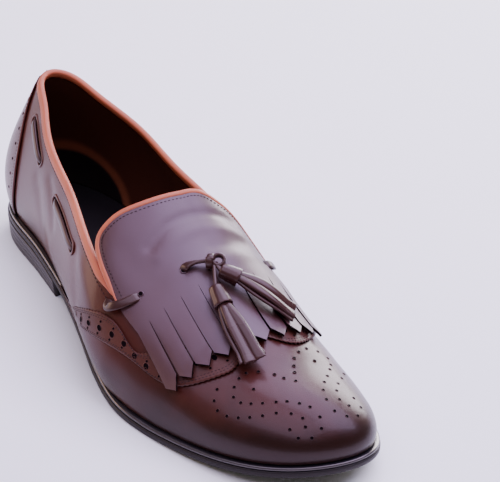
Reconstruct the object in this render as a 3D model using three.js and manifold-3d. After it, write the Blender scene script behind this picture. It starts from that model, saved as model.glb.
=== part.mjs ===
// A leather tassel loafer for the right foot, with a fringed flap over the instep and a perforated band.
// Lengths are in millimetres. +X runs from heel to toe, +Y to the wearer's inner side, +Z up.
// The origin is on the floor under the middle of the outsole.

import * as THREE from 'three';
import { mergeVertices } from 'three/addons/utils/BufferGeometryUtils.js';
import Module from 'manifold-3d';

const wasm = await Module();
wasm.setup();

// Driving dimensions
const SHOE_LENGTH = 296;
const BALL_WIDTH = 110;
const HEEL_HEIGHT = 12;
const HEEL_LENGTH = 88;
const HEEL_TAPER = 1.5;
const BREAST_HOLLOW = 3;
const TOE_SPRING = 13;
const OUTSOLE_THICKNESS = 3.4;
const SOLE_BEVEL = 1;
const WELT_THICKNESS = 1.8;
const WELT_WIDTH = 10;
const WELT_SETBACK = 0.7;
const WAIST_TUCK = 2.2;
const INSOLE_THICKNESS = 3;
const FEATHER_INSET = 3;
const INSTEP_HEIGHT = 69;
const COLLAR_HEIGHT = 67;
const UPPER_WALL = 1.8;
const BINDING_WIDTH = 3.4;
const BINDING_PROUD = 0.4;
const BAND_THICKNESS = 1;
const BAND_DEPTH = 12;
const COUNTER_THICKNESS = 0.9;
const KILTIE_THICKNESS = 1.4;
const FRINGE_STRIPS = 10;
const FRINGE_SLIT = 0.9;
const LACE_DIAMETER = 2.8;
const BAR_WIDTH = 4.4;
const BAR_THICKNESS = 1.6;
const KNOT_RADIUS = 3.8;
const TASSEL_CAP_RADIUS = 4.2;
const TASSEL_STRIP_WIDTH = 3.4;
const TASSEL_STRIP_THICKNESS = 2.2;
const TASSEL_STRIPS = 5;
const GAP = 0.3;

// Fineness of the surfaces
const FIBRES = 66;
const FIBRE_STEPS = 11;
const STATIONS = 25;
const OUTLINE_SAMPLES = 440;

const OUTER = -1;
const INNER = 1;

// Outline of the outsole, from the back of the heel along the outer side to the toe and back along the inner side.
// along: share of SHOE_LENGTH; out: share of BALL_WIDTH, plus inwards; crest: where the upper's fibre that starts
// here ends on the ridge, share of SHOE_LENGTH; bulge, belly: how far the fibre swells at half and at a third of
// its height; shoulder: exponent of its curve
const OUTLINE = [
  { along: 0.000, out: -0.040, crest: 0.111, bulge: -0.090, belly: 0.20, shoulder: 1.92 },
  { along: 0.030, out: -0.214, crest: 0.120, bulge: -0.110, belly: 0.27, shoulder: 1.72 },
  { along: 0.111, out: -0.290, crest: 0.142, bulge: -0.030, belly: 0.20, shoulder: 1.50 },
  { along: 0.213, out: -0.305, crest: 0.213, bulge: 0.170, belly: 0.06, shoulder: 1.70 },
  { along: 0.334, out: -0.356, crest: 0.314, bulge: 0.230, belly: 0.00, shoulder: 1.70 },
  { along: 0.456, out: -0.423, crest: 0.426, bulge: 0.204, belly: 0.00, shoulder: 2.08 },
  { along: 0.568, out: -0.495, crest: 0.537, bulge: 0.124, belly: 0.00, shoulder: 2.08 },
  { along: 0.674, out: -0.504, crest: 0.659, bulge: 0.046, belly: 0.00, shoulder: 1.92 },
  { along: 0.780, out: -0.433, crest: 0.760, bulge: 0.026, belly: 0.00, shoulder: 2.02 },
  { along: 0.877, out: -0.329, crest: 0.851, bulge: 0.047, belly: 0.00, shoulder: 2.07 },
  { along: 0.958, out: -0.168, crest: 0.872, bulge: 0.047, belly: 0.00, shoulder: 2.17 },
  { along: 0.998, out: 0.070, crest: 0.882, bulge: 0.047, belly: 0.00, shoulder: 2.17 },
  { along: 0.973, out: 0.286, crest: 0.872, bulge: 0.047, belly: 0.00, shoulder: 2.17 },
  { along: 0.882, out: 0.412, crest: 0.851, bulge: 0.047, belly: 0.00, shoulder: 2.07 },
  { along: 0.780, out: 0.462, crest: 0.760, bulge: 0.026, belly: 0.00, shoulder: 2.02 },
  { along: 0.669, out: 0.465, crest: 0.659, bulge: 0.036, belly: 0.00, shoulder: 1.92 },
  { along: 0.557, out: 0.408, crest: 0.537, bulge: 0.124, belly: 0.00, shoulder: 2.08 },
  { along: 0.446, out: 0.332, crest: 0.426, bulge: 0.244, belly: 0.00, shoulder: 2.08 },
  { along: 0.334, out: 0.302, crest: 0.314, bulge: 0.270, belly: 0.00, shoulder: 1.70 },
  { along: 0.213, out: 0.303, crest: 0.213, bulge: 0.170, belly: 0.05, shoulder: 1.70 },
  { along: 0.111, out: 0.262, crest: 0.142, bulge: -0.030, belly: 0.17, shoulder: 1.50 },
  { along: 0.030, out: 0.146, crest: 0.120, bulge: -0.110, belly: 0.24, shoulder: 1.72 },
];

// Underside of the outsole above the floor, from heel seat through arch and ball to the sprung toe.
// along: share of SHOE_LENGTH; heel: share of HEEL_HEIGHT; toe: share of TOE_SPRING
const UNDERSIDE = [
  { along: 0.000, heel: 1.00, toe: 0 },
  { along: 0.101, heel: 1.00, toe: 0 },
  { along: 0.223, heel: 0.92, toe: 0 },
  { along: 0.355, heel: 0.60, toe: 0 },
  { along: 0.486, heel: 0.20, toe: 0 },
  { along: 0.588, heel: 0.01, toe: 0 },
  { along: 0.659, heel: -0.05, toe: 0 },
  { along: 0.720, heel: -0.02, toe: 0 },
  { along: 0.811, heel: 0, toe: 0.12 },
  { along: 0.912, heel: 0, toe: 0.45 },
  { along: 1.014, heel: 0, toe: 1.00 },
];

// Waist, where the sole's edge draws in, as shares of SHOE_LENGTH: it starts behind from and ends past to
const WAIST = { heel: 0.213, from: 0.370, to: 0.560, ball: 0.690 };

// Ridge of the upper. along: share of SHOE_LENGTH; rise: share of INSTEP_HEIGHT above the feather line;
// aside: share of BALL_WIDTH, plus inwards
const RIDGE = [
  { along: 0.101, rise: 1.393, aside: 0.003 },
  { along: 0.203, rise: 1.386, aside: 0.006 },
  { along: 0.304, rise: 1.366, aside: 0.009 },
  { along: 0.405, rise: 1.246, aside: 0.018 },
  { along: 0.507, rise: 1.030, aside: 0.027 },
  { along: 0.608, rise: 0.838, aside: 0.030 },
  { along: 0.709, rise: 0.645, aside: 0.032 },
  { along: 0.811, rise: 0.487, aside: 0.036 },
  { along: 0.892, rise: 0.403, aside: 0.041 },
];

// Top edge of the quarters in side view, from behind the heel to the bottom of the notch beside the tongue.
// along: share of SHOE_LENGTH; rise: share of COLLAR_HEIGHT above the feather line
const COLLAR_EDGE = [
  { along: -0.051, rise: 1.259 },
  { along: 0.030, rise: 1.139 },
  { along: 0.081, rise: 1.064 },
  { along: 0.169, rise: 0.912 },
  { along: 0.287, rise: 0.817 },
  { along: 0.405, rise: 0.793 },
  { along: 0.497, rise: 0.733 },
  { along: 0.569, rise: 0.634 },
];

// Edge of the tongue in side view, from the notch round the corner and up past the ridge.
// outer, inner: shares of SHOE_LENGTH on the two sides; rise: share of COLLAR_HEIGHT
const TONGUE_EDGE = [
  { outer: 0.569, inner: 0.569, rise: 0.634 },
  { outer: 0.527, inner: 0.544, rise: 0.716 },
  { outer: 0.495, inner: 0.524, rise: 0.782 },
  { outer: 0.480, inner: 0.514, rise: 0.843 },
  { outer: 0.477, inner: 0.508, rise: 0.914 },
  { outer: 0.480, inner: 0.502, rise: 1.004 },
  { outer: 0.492, inner: 0.492, rise: 1.094 },
  { outer: 0.494, inner: 0.494, rise: 1.194 },
  { outer: 0.497, inner: 0.497, rise: 1.653 },
];

// Perforated band in side view, on the flanks. along: share of SHOE_LENGTH; rise: share of COLLAR_HEIGHT
const BAND_TOP = [
  { along: 0.304, rise: -0.008 },
  { along: 0.416, rise: 0.129 },
  { along: 0.527, rise: 0.349 },
  { along: 0.643, rise: 0.507 },
  { along: 0.699, rise: 0.602 },
];
const BAND_BOTTOM = [
  { along: 0.375, rise: -0.082 },
  { along: 0.476, rise: 0.172 },
  { along: 0.603, rise: 0.372 },
  { along: 0.659, rise: 0.367 },
  { along: 0.699, rise: 0.352 },
];

// Perforated band in plan, over the top. Both columns are shares: along of SHOE_LENGTH, out of BALL_WIDTH
const BAND_FRONT = [
  { along: 0.692, out: -0.430 },
  { along: 0.758, out: -0.347 },
  { along: 0.780, out: -0.302 },
  { along: 0.796, out: -0.208 },
  { along: 0.793, out: -0.140 },
  { along: 0.763, out: -0.005 },
  { along: 0.786, out: 0.125 },
  { along: 0.780, out: 0.237 },
  { along: 0.750, out: 0.330 },
  { along: 0.692, out: 0.410 },
];

// Outside counter in side view. along: share of SHOE_LENGTH; rise: share of COLLAR_HEIGHT
const COUNTER_EDGE = [
  { along: 0.045, rise: 1.309 },
  { along: 0.067, rise: 0.869 },
  { along: 0.093, rise: 0.609 },
  { along: 0.093, rise: 0.339 },
  { along: 0.088, rise: -0.041 },
];

// Side edge of the flap in side view, from the notch down to its fringe. Columns as for the counter
const KILTIE_SIDE = [
  { along: 0.569, rise: 0.634 },
  { along: 0.643, rise: 0.507 },
  { along: 0.714, rise: 0.362 },
  { along: 0.770, rise: 0.242 },
];

// Fringe in plan. Shares of SHOE_LENGTH, with the middle and half width as shares of BALL_WIDTH
const FRINGE = { root: 0.648, corner: 0.761, tip: 0.779, recede: 0.018, middle: -0.02, half: 0.365, turn: 60 };

// Lace bars that show through the sides. along: share of SHOE_LENGTH; rise: share of COLLAR_HEIGHT
const LACE_BARS = [
  { name: 'back', from: { along: 0.111, rise: 0.844 }, to: { along: 0.183, rise: 0.677 } },
  { name: 'front', from: { along: 0.296, rise: 0.630 }, to: { along: 0.420, rise: 0.603 } },
];

// Lace loops from each notch to the flap, in side view. Columns as above; lift: LACE_DIAMETER above the upper
const LACE_LOOP = [
  { along: 0.576, rise: 0.559, lift: 0.64 },
  { along: 0.585, rise: 0.533, lift: 1.50 },
  { along: 0.598, rise: 0.572, lift: 1.93 },
  { along: 0.607, rise: 0.642, lift: 1.50 },
];

// Tie over the flap in plan. Shares of SHOE_LENGTH and BALL_WIDTH, lift in LACE_DIAMETER above the upper
const TIE = [
  { along: 0.6160, out: -0.132, lift: 1.71 },
  { along: 0.6166, out: -0.104, lift: 2.21 },
  { along: 0.6200, out: -0.074, lift: 2.43 },
];
const KNOT = { along: 0.6260, out: -0.030, lift: 2.64 };

// Tassels in plan: the cap runs from the first place to the second, the strips on to the last
const TASSELS = [
  {
    name: 'inner',
    route: [
      { along: 0.6490, out: -0.006, lift: 2.93 },
      { along: 0.6700, out: 0.046, lift: 3.00 },
      { along: 0.6935, out: 0.097, lift: 2.71 },
      { along: 0.7170, out: 0.155, lift: 2.36 },
      { along: 0.7370, out: 0.218, lift: 2.00 },
    ],
  },
  {
    name: 'outer',
    route: [
      { along: 0.6706, out: -0.073, lift: 2.93 },
      { along: 0.7044, out: -0.080, lift: 3.00 },
      { along: 0.7416, out: -0.084, lift: 2.71 },
      { along: 0.7788, out: -0.085, lift: 2.43 },
      { along: 0.8159, out: -0.085, lift: 1.86 },
    ],
  },
];

// Materials
const leather = new THREE.MeshStandardMaterial({ color: 0x4a2a2c, roughness: 0.32, metalness: 0 });
const bandLeather = new THREE.MeshStandardMaterial({ color: 0x5a3430, roughness: 0.4, metalness: 0 });
const bindingLeather = new THREE.MeshStandardMaterial({ color: 0xb8674a, roughness: 0.5, metalness: 0 });
const liningLeather = new THREE.MeshStandardMaterial({ color: 0x5a2c18, roughness: 0.6, metalness: 0 });
const soleLeather = new THREE.MeshStandardMaterial({ color: 0x17151a, roughness: 0.45, metalness: 0 });
const weltLeather = new THREE.MeshStandardMaterial({ color: 0x24222a, roughness: 0.4, metalness: 0 });
const heelLeather = new THREE.MeshStandardMaterial({ color: 0x2b292f, roughness: 0.5, metalness: 0 });

// Curves

const wrap = (index, count) => ((index % count) + count) % count;
const mix = (a, b, share) => a + (b - a) * share;
const smooth = (share) => THREE.MathUtils.smoothstep(share, 0, 1);

// Uniform cubic B-spline round a closed loop that passes through the values
function loopCurve(values) {
  const count = values.length;
  let controls = values.slice();
  for (let pass = 0; pass < 60; pass += 1) {
    const last = controls;
    controls = values.map((v, i) => (6 * v - last[wrap(i - 1, count)] - last[wrap(i + 1, count)]) / 4);
  }
  return (place) => {
    const i = Math.floor(place);
    const f = place - i;
    const near = [-1, 0, 1, 2].map((step) => controls[wrap(i + step, count)]);
    const weights = [(1 - f) ** 3, 3 * f ** 3 - 6 * f ** 2 + 4, -3 * f ** 3 + 3 * f ** 2 + 3 * f + 1, f ** 3];
    return weights.reduce((sum, weight, k) => sum + weight * near[k], 0) / 6;
  };
}

// Natural cubic spline through the rows of a table, carried on straight past its ends
function tableCurve(xs, ys) {
  const last = xs.length - 1;
  const bend = new Array(last + 1).fill(0);
  const factor = new Array(last + 1).fill(0);
  for (let i = 1; i < last; i += 1) {
    const before = xs[i] - xs[i - 1];
    const after = xs[i + 1] - xs[i];
    const turn = 6 * ((ys[i + 1] - ys[i]) / after - (ys[i] - ys[i - 1]) / before);
    const pivot = 2 * (before + after) - before * factor[i - 1];
    factor[i] = after / pivot;
    bend[i] = (turn - before * bend[i - 1]) / pivot;
  }
  for (let i = last - 1; i > 0; i -= 1) {
    bend[i] -= factor[i] * bend[i + 1];
  }
  return (x) => {
    let i = 0;
    while (i < last - 1 && x > xs[i + 1]) {
      i += 1;
    }
    const width = xs[i + 1] - xs[i];
    const inside = THREE.MathUtils.clamp(x, xs[0], xs[last]) - xs[i];
    const rise = (ys[i + 1] - ys[i]) / width;
    const start = rise - (width * (2 * bend[i] + bend[i + 1])) / 6;
    const cubic = (bend[i + 1] - bend[i]) / (6 * width);
    const height = ys[i] + start * inside + (bend[i] / 2) * inside ** 2 + cubic * inside ** 3;
    const slope = start + bend[i] * inside + 3 * cubic * inside ** 2;
    return height + slope * (x - xs[i] - inside);
  };
}

const column = (table, key, size = 1) => table.map((row) => row[key] * size);

const heelShare = tableCurve(column(UNDERSIDE, 'along'), column(UNDERSIDE, 'heel'));
const toeShare = tableCurve(column(UNDERSIDE, 'along'), column(UNDERSIDE, 'toe'));
const ridgeRise = tableCurve(column(RIDGE, 'along'), column(RIDGE, 'rise', INSTEP_HEIGHT));
const ridgeAside = tableCurve(column(RIDGE, 'along'), column(RIDGE, 'aside', BALL_WIDTH));
const outlineAlong = loopCurve(column(OUTLINE, 'along', SHOE_LENGTH));
const outlineOut = loopCurve(column(OUTLINE, 'out', BALL_WIDTH));
const outlineCrest = loopCurve(column(OUTLINE, 'crest'));
const outlineBulge = loopCurve(column(OUTLINE, 'bulge'));
const outlineBelly = loopCurve(column(OUTLINE, 'belly'));
const outlineShoulder = loopCurve(column(OUTLINE, 'shoulder'));

// Heights above the floor

const underside = (x) => {
  const along = x / SHOE_LENGTH;
  return Math.max(0, heelShare(along) * HEEL_HEIGHT + toeShare(along) * TOE_SPRING);
};
const outsoleTop = (x) => underside(x) + OUTSOLE_THICKNESS;
const weltTop = (x) => outsoleTop(x) + GAP + WELT_THICKNESS;
const feather = (x) => weltTop(x) + GAP;
const ridgeHeight = (x) => feather(x) + ridgeRise(x / SHOE_LENGTH);

// Solids

function weld(corners) {
  const geometry = new THREE.BufferGeometry();
  geometry.setAttribute('position', new THREE.Float32BufferAttribute(corners.flatMap((c) => c.toArray()), 3));
  return solidOf(geometry);
}

// A closed geometry as a solid: shared corners merged, empty triangles dropped, faces turned outwards
function solidOf(geometry) {
  const bare = geometry.clone();
  bare.deleteAttribute('normal');
  bare.deleteAttribute('uv');
  const merged = mergeVertices(bare, 1e-4);
  const position = merged.getAttribute('position');
  const index = merged.getIndex().array;
  const corner = (i) => new THREE.Vector3().fromBufferAttribute(position, i);
  const kept = [];
  let volume = 0;
  for (let i = 0; i < index.length; i += 3) {
    const [a, b, c] = [index[i], index[i + 1], index[i + 2]];
    if (a !== b && b !== c && c !== a) {
      kept.push([a, b, c]);
      volume += corner(a).dot(corner(b).cross(corner(c)));
    }
  }
  const turned = volume > 0 ? kept : kept.map(([a, b, c]) => [a, c, b]);
  const triVerts = new Uint32Array(turned.flat());
  const vertProperties = new Float32Array(position.array);
  return new wasm.Manifold(new wasm.Mesh({ numProp: 3, vertProperties, triVerts }));
}

function geometryOf(solid) {
  const mesh = solid.getMesh();
  const geometry = new THREE.BufferGeometry();
  geometry.setAttribute('position', new THREE.BufferAttribute(new Float32Array(mesh.vertProperties), 3));
  geometry.setIndex(new THREE.BufferAttribute(new Uint32Array(mesh.triVerts), 1));
  const flat = geometry.toNonIndexed();
  flat.computeVertexNormals();
  return flat;
}

const joined = (solids) => solids.reduce((sum, next) => sum.add(next));
const quad = (a, b, c, d) => [a, b, c, a, c, d];

// A solid between rings of equal count, closed by a flat cap at each end
function loft(rings) {
  const corners = [];
  const count = rings[0].length;
  for (let r = 0; r + 1 < rings.length; r += 1) {
    for (let i = 0; i < count; i += 1) {
      const next = (i + 1) % count;
      corners.push(...quad(rings[r][i], rings[r][next], rings[r + 1][next], rings[r + 1][i]));
    }
  }
  const ends = [rings[0], rings[rings.length - 1].slice().reverse()];
  for (const ring of ends) {
    for (let i = 1; i + 1 < count; i += 1) {
      corners.push(ring[0], ring[i + 1], ring[i]);
    }
  }
  return weld(corners);
}

// Sole layers

function outlinePoint(place, inset) {
  const step = 1e-3;
  const dx = outlineAlong(place + step) - outlineAlong(place - step);
  const dy = outlineOut(place + step) - outlineOut(place - step);
  const length = Math.hypot(dx, dy);
  return { x: outlineAlong(place) - (dy / length) * inset, y: outlineOut(place) + (dx / length) * inset };
}

// How far the sole's edge draws in under the upper at the waist, between the heel's front and the ball
function waistTuck(place) {
  const along = outlineAlong(place) / SHOE_LENGTH;
  const inwards = smooth((along - WAIST.heel) / (WAIST.from - WAIST.heel));
  return WAIST_TUCK * inwards * (1 - smooth((along - WAIST.to) / (WAIST.ball - WAIST.to)));
}

// The two sides of the outline moved inwards, each as y for a given x
function sideEdges(inset) {
  const points = [];
  for (let i = 0; i < OUTLINE_SAMPLES; i += 1) {
    const place = (i * OUTLINE.length) / OUTLINE_SAMPLES;
    points.push(outlinePoint(place, inset + waistTuck(place)));
  }
  const xs = points.map((point) => point.x);
  const back = xs.indexOf(Math.min(...xs));
  const toe = xs.indexOf(Math.max(...xs));
  const walk = (step) => {
    const side = [];
    for (let i = back; i !== toe; i = wrap(i + step, points.length)) {
      side.push(points[i]);
    }
    side.push(points[toe]);
    return side;
  };
  const lookUp = (side) => (x) => {
    let i = 0;
    while (i < side.length - 2 && side[i + 1].x < x) {
      i += 1;
    }
    const share = (x - side[i].x) / (side[i + 1].x - side[i].x);
    return mix(side[i].y, side[i + 1].y, THREE.MathUtils.clamp(share, 0, 1));
  };
  return { from: xs[back], to: xs[toe], outer: lookUp(walk(1)), inner: lookUp(walk(-1)) };
}

// A layer that follows the outline. Each level has an inset and a height for x; the last is the top
function layer(levels, end = Infinity) {
  const rows = levels.map(({ inset, height }) => {
    const edges = sideEdges(inset);
    const to = Math.min(edges.to, end);
    const row = [];
    for (let k = 0; k <= STATIONS; k += 1) {
      const x = mix(edges.from, to, (1 - Math.cos((Math.PI * k) / STATIONS)) / 2);
      const z = height(x);
      row.push({ outer: new THREE.Vector3(x, edges.outer(x), z), inner: new THREE.Vector3(x, edges.inner(x), z) });
    }
    return row;
  });
  const corners = [];
  const base = rows[0];
  const top = rows[rows.length - 1];
  for (let k = 0; k < STATIONS; k += 1) {
    corners.push(...quad(base[k].outer, base[k].inner, base[k + 1].inner, base[k + 1].outer));
    corners.push(...quad(top[k].outer, top[k + 1].outer, top[k + 1].inner, top[k].inner));
  }
  for (let level = 0; level + 1 < rows.length; level += 1) {
    const low = rows[level];
    const high = rows[level + 1];
    for (let k = 0; k < STATIONS; k += 1) {
      corners.push(...quad(low[k].outer, low[k + 1].outer, high[k + 1].outer, high[k].outer));
      corners.push(...quad(low[k + 1].inner, low[k].inner, high[k].inner, high[k + 1].inner));
    }
    corners.push(...quad(low[STATIONS].outer, low[STATIONS].inner, high[STATIONS].inner, high[STATIONS].outer));
    corners.push(...quad(low[0].inner, low[0].outer, high[0].outer, high[0].inner));
  }
  return weld(corners);
}

function outsole() {
  return layer([
    { inset: SOLE_BEVEL, height: underside },
    { inset: 0, height: (x) => underside(x) + SOLE_BEVEL },
    { inset: 0, height: (x) => outsoleTop(x) - SOLE_BEVEL / 2 },
    { inset: SOLE_BEVEL / 2, height: outsoleTop },
  ]);
}

function welt() {
  const low = (x) => outsoleTop(x) + GAP;
  const rim = layer([
    { inset: WELT_SETBACK, height: low },
    { inset: WELT_SETBACK, height: (x) => weltTop(x) - SOLE_BEVEL },
    { inset: WELT_SETBACK + SOLE_BEVEL, height: weltTop },
  ]);
  const hole = layer([
    { inset: WELT_WIDTH, height: (x) => low(x) - WELT_THICKNESS },
    { inset: WELT_WIDTH, height: (x) => weltTop(x) + WELT_THICKNESS },
  ]);
  return rim.subtract(hole);
}

function insole() {
  const flangeInset = FEATHER_INSET + UPPER_WALL + 3 * GAP;
  const flange = layer([
    { inset: flangeInset, height: feather },
    { inset: flangeInset, height: (x) => feather(x) + INSOLE_THICKNESS },
  ]);
  const core = layer([
    { inset: WELT_WIDTH + GAP, height: (x) => outsoleTop(x) + GAP },
    { inset: WELT_WIDTH + GAP, height: (x) => feather(x) + INSOLE_THICKNESS / 2 },
  ]);
  return flange.add(core);
}

function heel() {
  const block = layer([
    { inset: HEEL_TAPER, height: () => 0 },
    { inset: 0, height: (x) => underside(x) - GAP },
  ], HEEL_LENGTH + BREAST_HOLLOW);
  const reach = BALL_WIDTH;
  const radius = (BREAST_HOLLOW ** 2 + (BALL_WIDTH / 3) ** 2) / (2 * BREAST_HOLLOW);
  const hollow = new THREE.CylinderGeometry(radius, radius, reach, 96);
  hollow.rotateX(Math.PI / 2);
  hollow.translate(HEEL_LENGTH + radius, 0, 0);
  return block.subtract(solidOf(hollow));
}

// Surface of the upper: fibres that rise from the feather line to the ridge, fanning out at heel and toe

// A fibre is part of a superellipse between its foot and its end on the ridge. It swells by its bulge in
// the middle, and past the instep it leans with the ridge's slope
function fibre(place) {
  const foot = outlinePoint(place, FEATHER_INSET);
  const crest = outlineCrest(place);
  const crestX = crest * SHOE_LENGTH;
  const crestY = ridgeAside(crest);
  const crestZ = ridgeHeight(crestX);
  const step = 0.3;
  const slope = (ridgeHeight(crestX + step) - ridgeHeight(crestX - step)) / (2 * step);
  const lean = slope * THREE.MathUtils.clamp((crest - 0.5) / 0.2, 0, 1);
  const drop = crestZ + lean * (foot.x - crestX) - feather(foot.x);
  const power = 2 / outlineShoulder(place);
  const bulge = outlineBulge(place);
  const belly = outlineBelly(place);
  return (share) => {
    const angle = (share * Math.PI) / 2;
    const rise = Math.sin(angle) ** power;
    const swell = bulge * 4 * rise * (1 - rise) + belly * 6.75 * rise * (1 - rise) ** 2;
    const reach = Math.max(0, Math.cos(angle)) ** power * (1 + swell);
    const x = crestX + (foot.x - crestX) * reach;
    const y = crestY + (foot.y - crestY) * reach;
    return new THREE.Vector3(x, y, crestZ + lean * (x - crestX) - drop * (1 - rise));
  };
}

// The open outer surface with its normals. The last step of opposite fibres is one shared corner
function upperSurface() {
  const corners = [];
  for (let i = 0; i < FIBRES; i += 1) {
    const point = fibre((i * OUTLINE.length) / FIBRES);
    for (let j = 0; j < FIBRE_STEPS; j += 1) {
      corners.push(point(j / FIBRE_STEPS));
    }
  }
  for (let i = 0; i <= FIBRES / 2; i += 1) {
    corners.push(fibre((i * OUTLINE.length) / FIBRES)(1));
  }
  const at = (i, j) => {
    const row = wrap(i, FIBRES);
    return j < FIBRE_STEPS ? row * FIBRE_STEPS + j : FIBRES * FIBRE_STEPS + Math.min(row, FIBRES - row);
  };
  const index = [];
  for (let i = 0; i < FIBRES; i += 1) {
    for (let j = 0; j < FIBRE_STEPS; j += 1) {
      index.push(...quad(at(i, j), at(i + 1, j), at(i + 1, j + 1), at(i, j + 1)));
    }
  }
  const geometry = new THREE.BufferGeometry();
  geometry.setAttribute('position', new THREE.Float32BufferAttribute(corners.flatMap((c) => c.toArray()), 3));
  geometry.setIndex(index);
  geometry.computeVertexNormals();
  return { corners, index, geometry, at };
}

const upperOuter = upperSurface();

// A closed solid under the outer surface moved along its normals, reaching down below the feather line
function form(distance, down = 0) {
  const normals = upperOuter.geometry.getAttribute('normal');
  const moved = upperOuter.corners.map((corner, i) => {
    const normal = new THREE.Vector3().fromBufferAttribute(normals, i);
    return corner.clone().addScaledVector(normal, distance(corner));
  });
  const rim = [];
  for (let i = 0; i < FIBRES; i += 1) {
    const foot = moved[upperOuter.at(i, 0)];
    rim.push(new THREE.Vector3(foot.x, foot.y, feather(foot.x) - down));
    if (down === 0) {
      foot.z = feather(foot.x);
    }
  }
  const corners = upperOuter.index.map((i) => moved[i]);
  for (let i = 0; i < FIBRES; i += 1) {
    const next = (i + 1) % FIBRES;
    if (down > 0) {
      corners.push(...quad(rim[i], rim[next], moved[upperOuter.at(next, 0)], moved[upperOuter.at(i, 0)]));
    }
  }
  for (let i = 0; i < FIBRES / 2; i += 1) {
    const across = wrap(FIBRES - i, FIBRES);
    corners.push(...quad(rim[i], rim[across], rim[FIBRES - i - 1], rim[i + 1]));
  }
  return weld(corners);
}

const BELOW = WELT_THICKNESS;

// The wall between two distances from the outer surface, open underneath
const skin = (inside, outside) => form(outside).subtract(form(inside, BELOW));
const level = (distance) => () => distance;

const bandTop = GAP + BAND_THICKNESS;
const kiltieBase = (corner) => {
  const share = (corner.x / SHOE_LENGTH - KILTIE_SIDE[0].along) / (FRINGE.root - KILTIE_SIDE[0].along);
  return GAP + (BAND_THICKNESS + GAP) * smooth(share);
};
const kiltieTop = (corner) => kiltieBase(corner) + KILTIE_THICKNESS;

// Outlines drawn in side view and in plan

const sidePoint = ({ along, rise }) => {
  const x = along * SHOE_LENGTH;
  return new THREE.Vector2(x, feather(x) + rise * COLLAR_HEIGHT);
};
const planPoint = ({ along, out }) => new THREE.Vector2(along * SHOE_LENGTH, out * BALL_WIDTH);
const through = (points, steps) => new THREE.SplineCurve(points).getPoints(steps);

const WIDE = 200;

// The outline in side view carried across the shoe, on one side of its middle or on both
function sideCut(points, side = 0) {
  const geometry = new THREE.ExtrudeGeometry(new THREE.Shape(points), {
    depth: side === 0 ? 2 * WIDE : WIDE,
    bevelEnabled: false,
  });
  geometry.rotateX(Math.PI / 2);
  geometry.translate(0, side === OUTER ? 0 : WIDE, 0);
  return solidOf(geometry);
}

// The outline in plan carried through the full height
function planCut(points) {
  const geometry = new THREE.ExtrudeGeometry(new THREE.Shape(points), { depth: WIDE, bevelEnabled: false });
  geometry.translate(0, 0, -WIDE / 4);
  return solidOf(geometry);
}

// Points moved to the right of the way they run
function beside(points, distance) {
  return points.map((point, i) => {
    const before = points[Math.max(0, i - 1)];
    const after = points[Math.min(points.length - 1, i + 1)];
    const way = after.clone().sub(before).normalize();
    return new THREE.Vector2(point.x + way.y * distance, point.y - way.x * distance);
  });
}

const collarLine = () => through(COLLAR_EDGE.map(sidePoint), 16);
const tongueLine = (side) => {
  const key = side === OUTER ? 'outer' : 'inner';
  return through(TONGUE_EDGE.map((row) => sidePoint({ along: row[key], rise: row.rise })), 14);
};

// Half circle round the bottom of the notch, between the two moved edges
function notchRound(distance, side) {
  const collar = collarLine();
  const tongue = tongueLine(side);
  const tip = collar[collar.length - 1];
  const start = beside(collar, distance).pop();
  const end = beside(tongue, distance)[0];
  const from = Math.atan2(start.y - tip.y, start.x - tip.x);
  const to = Math.atan2(end.y - tip.y, end.x - tip.x);
  return [0.25, 0.5, 0.75].map((share) => {
    const angle = mix(from, to, share);
    return new THREE.Vector2(tip.x + Math.cos(angle) * distance, tip.y + Math.sin(angle) * distance);
  });
}

// All that is above and behind the edge of the opening, widened by a distance
function openingCut(distance, side) {
  const collar = beside(collarLine(), distance);
  const tongue = beside(tongueLine(side), distance);
  const round = distance > 0 ? notchRound(distance, side) : [];
  const above = new THREE.Vector2(collar[0].x, tongue[tongue.length - 1].y);
  const low = collar[0].clone().setX(-WIDE / 4);
  return sideCut([low, ...collar, ...round, ...tongue, above.setX(-WIDE / 4)], side);
}

const opening = (distance) => openingCut(distance, OUTER).add(openingCut(distance, INNER));
const belowBinding = opening(BINDING_WIDTH + GAP);

function upper() {
  return skin(level(-UPPER_WALL), level(0)).subtract(belowBinding);
}

// A bound edge: a slightly thicker wall between the edge of the opening and the same edge moved inwards
function binding(edge, outside) {
  const strips = [OUTER, INNER].map((side) => {
    const line = edge(side);
    return sideCut([...line, ...beside(line, BINDING_WIDTH).reverse()], side);
  });
  return skin(level(-UPPER_WALL - BINDING_PROUD), outside).intersect(joined(strips));
}

// The two bindings part at the notch, where a slit keeps them clear of each other
const NOTCH_CLEARANCE = GAP;
const collarBinding = () => binding(collarLine, level(BINDING_PROUD));
const tongueBinding = () => {
  const strip = binding(tongueLine, level(GAP + KILTIE_THICKNESS + BINDING_PROUD / 2));
  const tip = beside(collarLine(), -NOTCH_CLEARANCE);
  const floor = [new THREE.Vector2(-WIDE, -WIDE), new THREE.Vector2(WIDE * 2, -WIDE)];
  const ahead = new THREE.Vector2(WIDE * 2, tip[tip.length - 1].y);
  return strip.subtract(sideCut([floor[0], floor[1], ahead, ...tip.reverse()]));
};

function counter() {
  const edge = through(COUNTER_EDGE.map(sidePoint), 8);
  const behind = [new THREE.Vector2(-WIDE / 4, edge[edge.length - 1].y), new THREE.Vector2(-WIDE / 4, edge[0].y)];
  const region = sideCut([...edge, ...behind]);
  return skin(level(GAP), level(GAP + COUNTER_THICKNESS)).intersect(region).subtract(belowBinding);
}

function bandRegion() {
  const top = through(BAND_TOP.map(sidePoint), 8);
  const bottom = through(BAND_BOTTOM.map(sidePoint), 8);
  const flanks = sideCut([...bottom, ...top.reverse()]);
  const front = through(BAND_FRONT.map(planPoint), 20);
  const back = beside(front, -BAND_DEPTH);
  return flanks.add(planCut([...front, ...back.reverse()]));
}

function brogueBand() {
  return skin(level(GAP), level(bandTop)).intersect(bandRegion());
}

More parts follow.
